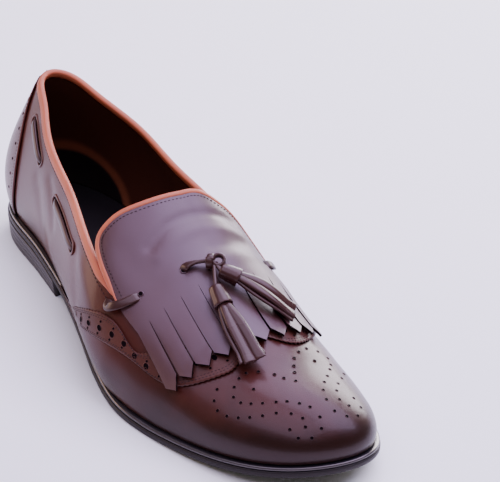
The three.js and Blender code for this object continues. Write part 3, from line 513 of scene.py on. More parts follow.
def sweep(points, sides, ups, profile):
    """A closed solid: a ring of [side, up] offsets carried along points, with a flat face at each end.

    profile is (ring, 2) or (points, ring, 2).
    """
    profile = np.broadcast_to(profile, (len(points),) + np.shape(profile)[-2:])
    rings = points[:, None] + sides[:, None] * profile[..., :1] + ups[:, None] * profile[..., 1:]
    count = rings.shape[1]
    faces = grid_faces(len(points), count, closed=True).tolist()
    last = (len(points) - 1) * count
    faces.append(list(range(count))[::-1])
    faces.append([last + k for k in range(count)])
    return rings.reshape(-1, 3), faces


def join(parts):
    """Several (points, faces) as one."""
    points, faces, start = [], [], 0
    for some_points, some_faces in parts:
        points.append(some_points)
        faces += [[start + int(k) for k in face] for face in some_faces]
        start += len(some_points)
    return np.concatenate(points), faces


def copies(base, base_faces, origins, sides, ways, ups):
    """The same small solid at many places: base coordinates run along side, way and up."""
    axes = np.stack([sides, ways, ups], 1)
    points = origins[:, None] + np.einsum("kj,njd->nkd", base, axes)
    faces = np.asarray(base_faces)[None] + (np.arange(len(origins)) * len(base))[:, None, None]
    return points.reshape(-1, 3), faces.reshape(-1, len(base_faces[0]))


def oval(wide, high, count, power=2.0):
    """A ring of count points: a superellipse, anticlockwise."""
    angle = np.arange(count) * 2 * np.pi / count
    c, s = np.cos(angle), np.sin(angle)
    return np.stack([np.sign(c) * np.abs(c) ** (2 / power) * wide, np.sign(s) * np.abs(s) ** (2 / power) * high], -1)


def line_frames(places, lift):
    """Points, directions, sides and normals along places on the upper. The side is to the right of the way."""
    lift = np.broadcast_to(lift, len(places))
    points = on_upper(places[:, 0], places[:, 1], lift)
    ups = upper_normal(places[:, 0], places[:, 1])
    ways = ways_along(points)
    ups = unit(ups - ways * (ups * ways).sum(-1, keepdims=True))
    return points, ways, np.cross(ways, ups), ups


def stitch_row(places, lift, aside, spacing, length, width, height):
    """A row of small stitches: bars of six sides, each pinched at its ends, set beside a line on the upper."""
    places = even_line(places, spacing=spacing / 2)
    points, ways, sides, ups = line_frames(places, lift)
    points = points + sides * aside
    pick = slice(1, len(points) - 1, 2)
    turn = np.arange(6) * np.pi / 3
    ring = np.stack([np.cos(turn) * width / 2, np.zeros(6), np.sin(turn) * height], -1)
    base = np.concatenate([ring * 0.55 + [0, -length / 2, -height / 3], ring + [0, -length / 4, 0],
                           ring + [0, length / 4, 0], ring * 0.55 + [0, length / 2, -height / 3],
                           [[0, -length / 2, -height / 3]], [[0, length / 2, -height / 3]]])
    faces = grid_faces(4, 6, closed=True)
    faces = np.concatenate([faces[:, [0, 1, 2]], faces[:, [0, 2, 3]]])
    k = np.arange(6)
    ends = np.concatenate([np.stack([np.full(6, 24), k, (k + 1) % 6], -1),
                           np.stack([np.full(6, 25), 18 + (k + 1) % 6, 18 + k], -1)])
    return copies(base, np.concatenate([faces, ends]), points[pick], sides[pick], ways[pick], ups[pick])


def punched_holes(places, lift, wide, high, spin=0.0):
    """Punched holes: for each a low lip round a shallow dished floor in painted shade for the hole's depth. Returns
    points, faces and which are dark.
    """
    places = np.atleast_2d(places)
    points = on_upper(places[:, 0], places[:, 1], np.broadcast_to(lift, len(places)))
    ups = upper_normal(places[:, 0], places[:, 1])
    ways = unit(np.cross(ups, [0.0, 1.0, 0.0]) * [-1, -1, -1])
    ways = unit(ways - ups * (ways * ups).sum(-1, keepdims=True))
    turned = ways * np.cos(spin) + np.cross(ups, ways) * np.sin(spin)
    sides = np.cross(turned, ups)
    count = 12
    ring = oval(1, 1, count)
    sizes = [(1.40, -0.25), (1.32, 0.02), (1.16, 0.12), (1.02, 0.11), (0.92, 0.04), (0.35, 0.03)]
    base = np.concatenate([np.stack([ring[:, 0] * wide * s, ring[:, 1] * high * s, np.full(count, z)], -1)
                           for s, z in sizes] + [[[0, 0, 0.03]], [[0, 0, -0.25]]])
    faces = grid_faces(len(sizes), count, closed=True)
    faces = np.concatenate([faces[:, [0, 2, 1]], faces[:, [0, 3, 2]]])
    k = np.arange(count)
    top, low = len(sizes) * count, len(sizes) * count + 1
    first = (len(sizes) - 1) * count
    lid = np.stack([np.full(count, top), first + k, first + (k + 1) % count], -1)
    floor = np.stack([np.full(count, low), (k + 1) % count, k], -1)
    ring_of = faces[:, 0] // count
    # The floor faces take the painted shade that stands for the hole's depth
    dark = np.concatenate([ring_of >= 3, np.ones(count, bool), np.zeros(count, bool)])
    found, made = copies(base, np.concatenate([faces, lid, floor]), points, sides, turned, ups)
    return found, made, np.tile(dark, len(places))


def nearest(points, line):
    """The distance of points from a line of points, straight between them."""
    start, run = line[:-1], np.diff(line, axis=0)
    share = np.einsum("nmd,md->nm", points[:, None] - start[None], run) / np.maximum((run**2).sum(-1), 1e-9)
    share = np.clip(share, 0, 1)[..., None]
    return np.linalg.norm(points[:, None] - start[None] - share * run[None], axis=-1).min(1)


def creases(places, rows):
    """Soft troughs and ridges: each row is a line of places, its half width and its height in mm."""
    points = upper_point(places[:, 0], places[:, 1])
    relief = np.zeros(len(places))
    for line, width, height in rows:
        line = smooth_line(line, 14)
        relief += height * np.exp(-(nearest(points, upper_point(line[:, 0], line[:, 1])) / width) ** 2)
    return relief


# Shared finishes

def new_group(name, inputs, outputs):
    """An empty shader node group with named sockets, and its input and output nodes."""
    group = bpy.data.node_groups.new(name, "ShaderNodeTree")
    for label, kind, value in inputs:
        socket = group.interface.new_socket(label, in_out="INPUT", socket_type=kind)
        socket.default_value = value
    for label, kind in outputs:
        group.interface.new_socket(label, in_out="OUTPUT", socket_type=kind)
    return group, group.nodes.new("NodeGroupInput"), group.nodes.new("NodeGroupOutput")


def add_node(tree, kind, settings=None, **inputs):
    """A node with its settings made and its sockets, named or as _number, set or linked."""
    node = tree.nodes.new(kind)
    for label, value in (settings or {}).items():
        setattr(node, label, value)
    for label, value in inputs.items():
        socket = node.inputs[int(label[1:])] if label[0] == "_" else node.inputs[label.replace("_", " ")]
        if isinstance(value, bpy.types.NodeSocket):
            tree.links.new(value, socket)
        else:
            socket.default_value = value
    return node


def grain_group():
    """Leather's surface: fine pores, a tight cell pattern and long soft wrinkles, added up into one height."""
    group, given, out = new_group("leather_grain", [
        ("Cell Size", "NodeSocketFloat", 0.0009), ("Depth", "NodeSocketFloat", 0.3),
        ("Roughness", "NodeSocketFloat", 0.35), ("Unevenness", "NodeSocketFloat", 0.08),
    ], [("Normal", "NodeSocketVector"), ("Roughness", "NodeSocketFloat")])
    place = add_node(group, "ShaderNodeTexCoord").outputs["Object"]
    scale = add_node(group, "ShaderNodeMath", {"operation": "DIVIDE"}, _0=1.0, _1=given.outputs["Cell Size"])
    cells = add_node(group, "ShaderNodeTexVoronoi", {"feature": "DISTANCE_TO_EDGE"}, Vector=place,
                     Scale=scale.outputs[0])
    crack = add_node(group, "ShaderNodeMapRange", None, Value=cells.outputs["Distance"], To_Max=1.0, From_Max=0.12)
    pores = add_node(group, "ShaderNodeTexNoise", None, Vector=place, Scale=2600.0, Detail=3.0)
    swell = add_node(group, "ShaderNodeTexNoise", None, Vector=place, Scale=46.0, Detail=2.0, Distortion=0.6)
    fine = add_node(group, "ShaderNodeMath", {"operation": "MULTIPLY_ADD"}, _0=pores.outputs["Fac"], _1=0.5,
                    _2=crack.outputs["Result"])
    both = add_node(group, "ShaderNodeMath", {"operation": "MULTIPLY_ADD"}, _0=swell.outputs["Fac"], _1=4.0,
                    _2=fine.outputs[0])
    bump = add_node(group, "ShaderNodeBump", None, Strength=given.outputs["Depth"], Distance=0.00006,
                    Height=both.outputs[0])
    group.links.new(bump.outputs["Normal"], out.inputs["Normal"])
    patch = add_node(group, "ShaderNodeTexNoise", None, Vector=place, Scale=30.0, Detail=4.0)
    spread = add_node(group, "ShaderNodeMath", {"operation": "SUBTRACT"}, _0=patch.outputs["Fac"], _1=0.5)
    rough = add_node(group, "ShaderNodeMath", {"operation": "MULTIPLY_ADD"}, _0=spread.outputs[0],
                     _1=given.outputs["Unevenness"], _2=given.outputs["Roughness"])
    group.links.new(rough.outputs[0], out.inputs["Roughness"])
    return group


def burnish_group():
    """Polished colour: a warm middle that darkens towards the toe and the feather line, in soft cloudy patches."""
    group, given, out = new_group("burnish", [
        ("Light", "NodeSocketColor", (0.1, 0.04, 0.03, 1)), ("Dark", "NodeSocketColor", (0.02, 0.008, 0.008, 1)),
        ("Toe", "NodeSocketFloat", 0.5), ("Edge", "NodeSocketFloat", 0.5), ("Clouds", "NodeSocketFloat", 0.4),
    ], [("Color", "NodeSocketColor"), ("Mask", "NodeSocketFloat")])
    place = add_node(group, "ShaderNodeTexCoord").outputs["Object"]
    parts = add_node(group, "ShaderNodeSeparateXYZ", None, Vector=place)
    toe = add_node(group, "ShaderNodeMapRange", {"interpolation_type": "SMOOTHSTEP"}, Value=parts.outputs["X"],
                   From_Min=0.05, From_Max=0.145)
    edge = add_node(group, "ShaderNodeMapRange", {"interpolation_type": "SMOOTHSTEP"}, Value=parts.outputs["Z"],
                    From_Min=0.034, From_Max=0.010)
    cloud = add_node(group, "ShaderNodeTexNoise", None, Vector=place, Scale=22.0, Detail=3.0, Distortion=0.8)
    mottle = add_node(group, "ShaderNodeMapRange", None, Value=cloud.outputs["Fac"], From_Min=0.35, From_Max=0.75)
    one = add_node(group, "ShaderNodeMath", {"operation": "MULTIPLY"}, _0=toe.outputs[0], _1=given.outputs["Toe"])
    two = add_node(group, "ShaderNodeMath", {"operation": "MULTIPLY_ADD"}, _0=edge.outputs[0],
                   _1=given.outputs["Edge"], _2=one.outputs[0])
    three = add_node(group, "ShaderNodeMath", {"operation": "MULTIPLY_ADD", "use_clamp": True}, _0=mottle.outputs[0],
                     _1=given.outputs["Clouds"], _2=two.outputs[0])
    mix = add_node(group, "ShaderNodeMix", {"data_type": "RGBA"}, _0=three.outputs[0])
    group.links.new(given.outputs["Light"], mix.inputs[6])
    group.links.new(given.outputs["Dark"], mix.inputs[7])
    group.links.new(mix.outputs[2], out.inputs["Color"])
    group.links.new(three.outputs[0], out.inputs["Mask"])
    return group


# In metres of the frame; the pad's edge is a circle about it, seen from the side
PAD_CENTRE = (-0.1397, 0.0, -0.008)


def heel_pad_group():
    """The heel pad inside: black within a circle seen from the side, a lighter edge as painted highlight, and the
    lining past it.
    """
    group, given, out = new_group("heel_pad", [
        ("Pad", "NodeSocketColor", (0.005, 0.003, 0.003, 1)), ("Edge", "NodeSocketColor", (0.16, 0.045, 0.018, 1)),
        ("Lining", "NodeSocketColor", (0.05, 0.012, 0.005, 1)), ("Radius", "NodeSocketFloat", 0.05),
    ], [("Color", "NodeSocketColor")])
    place = add_node(group, "ShaderNodeTexCoord").outputs["Object"]
    centred = add_node(group, "ShaderNodeVectorMath", {"operation": "SUBTRACT"}, _0=place, _1=PAD_CENTRE)
    flat = add_node(group, "ShaderNodeVectorMath", {"operation": "MULTIPLY"}, _0=centred.outputs[0], _1=(1, 0, 1))
    reach = add_node(group, "ShaderNodeVectorMath", {"operation": "LENGTH"}, _0=flat.outputs[0])
    past = add_node(group, "ShaderNodeMath", {"operation": "SUBTRACT"}, _0=reach.outputs["Value"],
                    _1=given.outputs["Radius"])
    inner = add_node(group, "ShaderNodeMapRange", {"interpolation_type": "SMOOTHSTEP"}, Value=past.outputs[0],
                     From_Min=-0.0045, From_Max=-0.0015)
    outer = add_node(group, "ShaderNodeMapRange", {"interpolation_type": "SMOOTHSTEP"}, Value=past.outputs[0],
                     From_Min=0.0, From_Max=0.005)
    # The Edge colour is a painted highlight: the lit rim of a pad that has no shape of its own
    edge = add_node(group, "ShaderNodeMix", {"data_type": "RGBA"}, _0=inner.outputs[0])
    group.links.new(given.outputs["Pad"], edge.inputs[6])
    group.links.new(given.outputs["Edge"], edge.inputs[7])
    whole = add_node(group, "ShaderNodeMix", {"data_type": "RGBA"}, _0=outer.outputs[0])
    group.links.new(edge.outputs[2], whole.inputs[6])
    group.links.new(given.outputs["Lining"], whole.inputs[7])
    group.links.new(whole.outputs[2], out.inputs["Color"])
    return group


GRAIN = grain_group()
BURNISH = burnish_group()
HEEL_PAD = heel_pad_group()


def leather(name, light, dark, roughness, cell=0.0009, depth=0.3, toe=0.0, edge=0.0, clouds=0.4, coat=0.3,
            coat_roughness=0.18, specular=0.7, gloss_tint=(1.0, 0.80, 0.78), unevenness=0.08, pad=False):
    """A leather from the shared grain and burnish, with its gloss on the shader itself.

    With pad, light is the lining's colour and dark the heel pad's, with a painted highlight at its edge, in place of
    the burnish.
    """
    material = bpy.data.materials.new(name)
    material.use_nodes = True
    tree = material.node_tree
    shader = tree.nodes["Principled BSDF"]
    if pad:
        colour = add_node(tree, "ShaderNodeGroup", {"node_tree": HEEL_PAD}, Pad=(*dark, 1), Lining=(*light, 1))
    else:
        colour = add_node(tree, "ShaderNodeGroup", {"node_tree": BURNISH}, Light=(*light, 1), Dark=(*dark, 1),
                          Toe=toe, Edge=edge, Clouds=clouds)
    surface = add_node(tree, "ShaderNodeGroup", {"node_tree": GRAIN}, Cell_Size=cell, Depth=depth,
                       Roughness=roughness, Unevenness=unevenness)
    tree.links.new(colour.outputs["Color"], shader.inputs["Base Color"])
    tree.links.new(surface.outputs["Roughness"], shader.inputs["Roughness"])
    tree.links.new(surface.outputs["Normal"], shader.inputs["Normal"])
    shader.inputs["Coat Weight"].default_value = coat
    shader.inputs["Coat Roughness"].default_value = coat_roughness
    shader.inputs["Specular IOR Level"].default_value = specular
    shader.inputs["Specular Tint"].default_value = (*gloss_tint, 1)
    return material


UPPER_CALF = leather("upper_calf", (0.066, 0.013, 0.008), (0.012, 0.003, 0.002), 0.30, toe=0.55, edge=0.6,
                     clouds=0.45, coat=0.10, coat_roughness=0.12, specular=0.28, gloss_tint=(1.0, 0.78, 0.82))
BAND_CALF = leather("band_calf", (0.066, 0.018, 0.012), (0.020, 0.005, 0.005), 0.42, edge=0.2, clouds=0.4, coat=0.05,
                    specular=0.25)
FLAP_CALF = leather("flap_calf", (0.046, 0.013, 0.012), (0.022, 0.006, 0.006), 0.42, clouds=0.4, coat=0.12,
                    coat_roughness=0.3, specular=0.6, gloss_tint=(0.97, 0.80, 0.97))
# Near-black rim colour for cut edges: painted shade, the shadow along the edges of the strips, the band and the
# counter
CUT_EDGE_PAINTED_SHADE = leather("cut_edge_painted_shade", (0.006, 0.002, 0.002), (0.003, 0.001, 0.001), 0.9, coat=0.0, specular=0.05)
BINDING_KID = leather("binding_kid", (0.46, 0.115, 0.050), (0.24, 0.052, 0.028), 0.5, cell=0.0006, clouds=0.6,
                      coat=0.05, specular=0.35)
LACE_LEATHER = leather("lace_leather", (0.036, 0.012, 0.010), (0.012, 0.004, 0.005), 0.32, depth=0.12, coat=0.15,
                       clouds=0.5, specular=0.3)
TASSEL_LEATHER = leather("tassel_leather", (0.038, 0.012, 0.011), (0.011, 0.004, 0.005), 0.28, depth=0.12, coat=0.2,
                         coat_roughness=0.12, clouds=0.5, specular=0.28)
# The lining's heel pad has a painted highlight at its edge
LINING_LEATHER = leather("lining_leather", (0.050, 0.012, 0.005), (0.005, 0.003, 0.003), 0.6, depth=0.4, coat=0.0,
                         specular=0.25, pad=True)
SOCK_LEATHER = leather("sock_leather", (0.006, 0.005, 0.006), (0.003, 0.002, 0.003), 0.8, coat=0.0, specular=0.15)
# Near-black painted shade for hole floors and slot beds, whose depth is not modelled
HOLE_PAINTED_SHADE = leather("hole_painted_shade", (0.003, 0.001, 0.002), (0.002, 0.001, 0.001), 0.9, coat=0.0, specular=0.05)
THREAD = leather("thread", (0.025, 0.010, 0.010), (0.010, 0.004, 0.004), 0.7, cell=0.0003, coat=0.0, specular=0.25)
SOLE_EDGE = leather("sole_edge", (0.004, 0.004, 0.005), (0.002, 0.002, 0.003), 0.5, clouds=0.5, coat=0.0,
                    depth=0.2, specular=0.3)
WELT_EDGE = leather("welt_edge", (0.008, 0.007, 0.010), (0.004, 0.004, 0.005), 0.3, clouds=0.5, coat=0.4,
                    depth=0.15)
HEEL_STACK = leather("heel_stack", (0.020, 0.018, 0.022), (0.008, 0.007, 0.009), 0.5, clouds=0.6, coat=0.1,
                     depth=0.3, specular=0.4)

# Camera: the photograph's side, height and roll

VIEW_SIDE, VIEW_RISE, VIEW_ROLL = -0.58636, 0.51495, 0.07967
VIEW_DISTANCE, VIEW_FOCAL, PICTURE_WIDTH, SENSOR = 964.765, 1904.699, 500, 36.0
VIEW_TARGET = np.array([146.68444, 45.25139, 45.0])


def add_camera():
    """Looks at the target from the given side and height, rolled about its own axis."""
    back = np.array([np.cos(VIEW_SIDE) * np.cos(VIEW_RISE), np.sin(VIEW_SIDE) * np.cos(VIEW_RISE), np.sin(VIEW_RISE)])
    right = unit(np.cross(-back, [0, 0, 1]))
    up = np.cross(right, -back)
    turned_right = right * np.cos(VIEW_ROLL) + up * np.sin(VIEW_ROLL)
    turned_up = -right * np.sin(VIEW_ROLL) + up * np.cos(VIEW_ROLL)
    data = bpy.data.cameras.new("Camera")
    data.sensor_width = SENSOR
    data.lens = SENSOR * VIEW_FOCAL / PICTURE_WIDTH
    data.clip_start = 0.01
    camera = bpy.data.objects.new("Camera", data)
    place = to_frame(VIEW_TARGET + VIEW_DISTANCE * back)
    matrix = Matrix([[*turned_right], [*turned_up], [*back]]).transposed().to_4x4()
    matrix.translation = Vector(place)
    camera.matrix_world = matrix
    bpy.context.scene.collection.objects.link(camera)
    bpy.context.scene.camera = camera


add_camera()


def add_softbox(name, place, aim, size, power, tint):
    """A large rectangular light at a place in metres, turned towards its aim."""
    data = bpy.data.lights.new(name, "AREA")
    data.shape = "RECTANGLE"
    data.size, data.size_y = size
    data.energy = power
    data.color = tint
    light = bpy.data.objects.new(name, data)
    light.location = place
    light.rotation_euler = (Vector(aim) - Vector(place)).to_track_quat("-Z", "Y").to_euler()
    bpy.context.scene.collection.objects.link(light)


add_softbox("Ceiling", (-0.08, 0.50, 1.10), (0.02, 0.0, 0.04), (1.7, 1.0), 42, (0.72, 0.65, 1.0))
add_softbox("Overhead", (0.20, -0.42, 1.15), (0.04, 0.0, 0.04), (1.5, 0.9), 16, (0.74, 0.67, 1.0))
add_softbox("Window", (-0.70, 1.15, 0.40), (0.06, 0.0, 0.04), (0.9, 0.6), 22, (0.98, 0.93, 1.0))
add_softbox("Side", (-1.00, -0.85, 0.32), (-0.05, 0.0, 0.04), (0.8, 0.5), 7, (1.0, 0.70, 0.55))

world = bpy.data.worlds.new("Studio")
world.use_nodes = True
world.node_tree.nodes["Background"].inputs["Color"].default_value = (1.0, 0.93, 0.88, 1)
world.node_tree.nodes["Background"].inputs["Strength"].default_value = 0.26
bpy.context.scene.world = world

floor_material = bpy.data.materials.new("pale_floor")
floor_material.use_nodes = True
floor_shader = floor_material.node_tree.nodes["Principled BSDF"]
floor_shader.inputs["Base Color"].default_value = (0.93, 0.93, 0.92, 1)
floor_shader.inputs["Roughness"].default_value = 0.85
floor_mesh = bpy.data.meshes.new("floor")
floor_mesh.from_pydata([(-6, -6, 0), (6, -6, 0), (6, 6, 0), (-6, 6, 0)], [], [(0, 1, 2, 3)])
floor_mesh.materials.append(floor_material)
floor = bpy.data.objects.new("floor", floor_mesh)
bpy.context.scene.collection.objects.link(floor)


# Sole, welt, heel and insole

def slab(rings, end=None, hollow=0.0, steps=150, width=9):
    """A layer under the shoe between the outline's two sides, from the heel to the toe or to a front face.

    rings are (inset, height as a function of x) from the bottom up. A point is the mix of the outer and the inner
    side's point at the same share of the way, and the front edge is hollowed by 1 - v^2.
    """
    share = (1 - np.cos(np.linspace(0, np.pi, steps))) / 2
    if end is None:
        outer_end = inner_end = 11.0
    else:
        outer_end = float(np.interp(end, outline_along(np.linspace(0, 9, 900)), np.linspace(0, 9, 900)))
        inner_end = float(np.interp(end, outline_along(22 - np.linspace(0, 9, 900)), np.linspace(0, 9, 900)))
        share = np.linspace(0, 1, steps) ** 1.6
    v = np.linspace(-1, 1, width)

    def layer(inset, height):
        outer, inner = (np.stack(outline_point(place, inset + waist_tuck(place)), -1)
                        for place in (share * outer_end, 22 - share * inner_end))
        plan = (outer[:, None] * (1 - v)[None, :, None] + inner[:, None] * (1 + v)[None, :, None]) / 2
        if end is not None:
            plan[..., 0] -= hollow * (1 - v**2) * share[:, None] ** 4
        return np.concatenate([plan, height(plan[..., 0])[..., None]], -1)
    layers = [layer(*ring) for ring in rings]
    parts = [(layers[0].reshape(-1, 3), grid_faces(steps, width)),
             (layers[-1].reshape(-1, 3), grid_faces(steps, width)[:, ::-1])]
    outer = np.stack([one[:, 0] for one in layers])
    inner = np.stack([one[:, -1] for one in layers])
    parts.append((outer.reshape(-1, 3), grid_faces(len(rings), steps)))
    parts.append((inner.reshape(-1, 3), grid_faces(len(rings), steps)[:, ::-1]))
    if end is not None:
        front = np.stack([one[-1] for one in layers])
        parts.append((front.reshape(-1, 3), grid_faces(len(rings), width)))
    return join(parts)


def facing_out(piece):
    """Turns a closed mesh's faces outwards."""
    work = bmesh.new()
    work.from_mesh(piece.data)
    bmesh.ops.recalc_face_normals(work, faces=work.faces)
    work.to_mesh(piece.data)
    work.free()
    return piece


def at_height(base, offset):
    """A height as a function of x: another one moved up by an offset."""
    return lambda x: base(x) + offset


points, faces = slab([(4.0, underside), (0.9, underside), (0.3, at_height(underside, 0.3)),
                      (0.0, at_height(underside, 0.9)), (0.0, at_height(outsole_top, -0.8)),
                      (0.25, at_height(outsole_top, -0.2)), (0.9, outsole_top), (4.0, outsole_top)])
facing_out(make_piece("outsole_leather", points, faces, [SOLE_EDGE], ["outsole"], weld=0.02))

points, faces = slab([(5.0, at_height(outsole_top, GAP * 0.2)), (1.0, at_height(outsole_top, GAP * 0.2)),
                      (0.62, at_height(outsole_top, 0.30)), (0.45, at_height(outsole_top, 0.75)),
                      (0.48, at_height(outsole_top, 1.15)), (0.75, at_height(outsole_top, 1.65)),
                      (1.3, at_height(outsole_top, 1.95)), (2.2, at_height(outsole_top, 2.05)),
                      (5.0, at_height(outsole_top, 2.05))])
facing_out(make_piece("welt_strip", points, faces, [WELT_EDGE], ["welt"], weld=0.02))


def heel_level(share):
    """The height of a level in the heel, as a share of the way up to the outsole."""
    return lambda x: (underside(x) - GAP) * share


HEEL_LIFTS = 4
heel_rows = []
for lift in range(HEEL_LIFTS):
    low, high = lift / HEEL_LIFTS, (lift + 1) / HEEL_LIFTS
    for inset, share in ((0.25, low + 0.004), (0.0, low + 0.03), (0.0, high - 0.03), (0.25, high - 0.004)):
        heel_rows.append((inset + HEEL_TAPER * (1 - share), heel_level(share)))
heel_rows[0] = (heel_rows[0][0] + 0.2, heel_level(0.0))
heel_rows[-1] = (heel_rows[-1][0], heel_level(1.0))
points, faces = slab(heel_rows, end=HEEL_LENGTH, hollow=BREAST_HOLLOW, steps=120, width=25)
facing_out(make_piece("heel_stack", points, faces, [HEEL_STACK], ["heel"], weld=0.02))

INSOLE_INSET = FEATHER_INSET + UPPER_WALL + 3 * GAP


def sock_top(x):
    """The sock's upper side."""
    return feather(x) + INSOLE_THICKNESS


points, faces = slab([(WELT_WIDTH, at_height(outsole_top, GAP * 2)), (INSOLE_INSET + 0.4, at_height(feather, 0.2)),
                      (INSOLE_INSET, at_height(feather, 1.0)), (INSOLE_INSET + 0.2, at_height(sock_top, -0.4)),
                      (INSOLE_INSET + 0.8, sock_top), (INSOLE_INSET + 4, sock_top)])
facing_out(make_piece("insole_sock", points, faces, [SOCK_LEATHER], ["insole"], weld=0.02))

# Upper: quarters and vamp

UPPER_CREASES = [
    ([[2.9, -0.70], [3.15, -0.76], [3.3, -0.86]], 5.0, -0.4),
    ([[3.35, -0.64], [3.55, -0.68], [3.75, -0.76]], 4.0, -0.5),
    ([[4.75, -0.68], [4.95, -0.74], [5.2, -0.82]], 5.0, -0.5),
    ([[5.1, -0.68], [5.5, -0.72], [5.9, -0.74]], 5.5, 0.4),
    ([[3.8, -0.85], [5.0, -0.87], [6.3, -0.88]], 10.0, 1.5),
    ([[2.9, 0.70], [3.15, 0.76], [3.3, 0.86]], 5.0, -0.5),
    ([[4.75, 0.68], [4.95, 0.74], [5.2, 0.82]], 5.0, -0.5),
    ([[3.8, 0.85], [5.0, 0.87], [6.3, 0.88]], 10.0, 1.2),
    ([[7.5, -0.86], [8.0, -0.80], [8.4, -0.72]], 8.0, -0.4),
    ([[8.2, 0.62], [8.6, 0.66], [9.0, 0.70]], 7.0, -0.35),
    ([[8.5, -0.2], [8.7, 0.0], [8.6, 0.2]], 9.0, -0.35),
]


def upper_skin():
    """The upper's outer layer: a patch cut back from the opening, with its creases.

    The creases fade out beside the collar, where the binding holds the leather flat.
    """
    places, triangles = upper_patch(np.linspace(0, 11, 290), np.linspace(-1, 1, 181))
    places, triangles = cut(places, triangles, -opening_depth(places[:, 0], places[:, 1]) - SKIN_SHORT)
    outside = -opening_depth(places[:, 0], places[:, 1])
    lift = creases(places, UPPER_CREASES) * smoothstep(3, 12, outside) - 0.02
    points = on_upper(places[:, 0], places[:, 1], lift)
    piece = make_piece("upper_skin", points, triangles, [UPPER_CALF], ["upper"], weld=0.01)
    thicken(piece, SKIN_THICKNESS)


upper_skin()

# Lining: the upper's inner side, short of the toe and of the feather line

places, triangles = upper_patch(np.linspace(0, 10.6, 120), np.linspace(-0.985, 0.985, 121))
places, triangles = cut(places, triangles, -opening_depth(places[:, 0], places[:, 1]) - LINING_SHORT)
points = on_upper(places[:, 0], places[:, 1], np.full(len(places), -UPPER_WALL))
lining = make_piece("quarter_lining", points, triangles[:, ::-1], [LINING_LEATHER], weld=0.01)
thicken(lining, LINING_THICKNESS)

# Bindings

OUTER_COLLAR, COLLAR_BACK, INNER_COLLAR = collar_line()
COLLAR = np.concatenate([OUTER_COLLAR[:-1], COLLAR_BACK, INNER_COLLAR[1:]])
TONGUE = tongue_line()


def even_frames(places, spacing, lift):
    """Evenly spread, smoothed points along places, with the outward normal and the way across it."""
    points = on_upper(places[:, 0], places[:, 1], np.full(len(places), lift))
    ups = upper_normal(places[:, 0], places[:, 1])
    run = np.concatenate([[0], np.cumsum(np.linalg.norm(np.diff(points, axis=0), axis=1))])
    wanted = np.linspace(0, run[-1], int(run[-1] / spacing))
    points = np.stack([np.interp(wanted, run, points[:, k]) for k in range(3)], -1)
    ups = np.stack([np.interp(wanted, run, ups[:, k]) for k in range(3)], -1)
    for _ in range(6):
        points[1:-1] = (points[:-2] + 2 * points[1:-1] + points[2:]) / 4
        ups[1:-1] = (ups[:-2] + 2 * ups[1:-1] + ups[2:]) / 4
    ways = ways_along(points)
    ups = unit(ups - ways * (ups * ways).sum(-1, keepdims=True))
    return points, ways, ups


def rolled_edge(name, places, aside, width, outside, inside, replaced):
    """A bound edge: a folded strip carried along the opening, rounded over the top, flat on both faces."""
    points, ways, ups = even_frames(places, 1.0, 0.0)
    sides = np.cross(ups, ways) * aside
    middle, half = (outside + inside) / 2, (outside - inside) / 2
    turn = np.linspace(np.pi / 2, 3 * np.pi / 2, 9)
    lip = np.stack([np.cos(turn) * 1.0 + 0.1, middle + np.sin(turn) * half], -1)
    ring = np.concatenate([[[width, outside - 0.55], [width - 0.25, outside - 0.1], [width * 0.55, outside + 0.1]],
                           lip, [[width * 0.55, inside - 0.1], [width - 0.2, inside], [width, inside + 0.5]]])
    if aside > 0:
        ring = ring[::-1]
    along = np.concatenate([[0], np.cumsum(np.linalg.norm(np.diff(points, axis=0), axis=-1))])
    narrow = 0.35 + 0.65 * smoothstep(0, 16, np.minimum(along, along[-1] - along))
    ring = ring[None] * np.stack([narrow, np.ones_like(narrow)], -1)[:, None]
    found, made = sweep(points, sides, ups, ring)
    piece = make_piece(name, found, made, [BINDING_KID], replaced)
    return facing_out(piece)


rolled_edge("collar_piping", COLLAR, 1, 3.3, 0.75, -2.3, ["collar_binding"])
rolled_edge("tongue_piping", TONGUE, -1, 2.1, GAP + KILTIE_THICKNESS + 0.35, -2.0, ["tongue_binding"])

# Flap over the instep with its fringe

FLAP_CREASES = [
    ([[6.02, -0.30], [5.93, -0.15], [5.95, 0.0], [5.93, 0.15], [5.90, 0.33]], 2.6, -0.9),
    ([[6.22, -0.28], [6.16, -0.12], [6.18, 0.04], [6.16, 0.2], [6.12, 0.36]], 3.2, 0.7),
    ([[6.45, 0.02], [6.40, 0.15], [6.32, 0.30]], 3.5, -0.6),
    ([[6.65, 0.05], [6.60, 0.18], [6.5, 0.32]], 4.0, 0.6),
    ([[5.75, -0.42], [6.1, -0.40], [6.5, -0.36]], 6.0, -0.4),
]


FLAP_RISE_START = COLLAR_EDGE[-1, 0] * SHOE_LENGTH


def flap_base(x):
    """The flap's underside above the upper: close behind, and over the band in front."""
    return GAP + (BAND_THICKNESS + GAP) * smoothstep(FLAP_RISE_START, FRINGE["root"] * SHOE_LENGTH, x)


def fringe_edge(i):
    """The parting between strips, seen from above: even turns round the instep."""
    turn = np.radians(FRINGE["turn"])
    return (FRINGE["middle"] + FRINGE["half"] * np.sin(turn * (2 * i / FRINGE_STRIPS - 1)) / np.sin(turn)) * BALL_WIDTH


STRIP_CURL = np.array([0.5, 0.9, 1.1, 0.8, 0.4, 0.4, 0.8, 1.2, 0.9, 0.6])
STRIP_LEAN = np.array([0.32, 0.36, 0.34, 0.30, 0.12, -0.12, -0.3, -0.36, -0.3, -0.25])


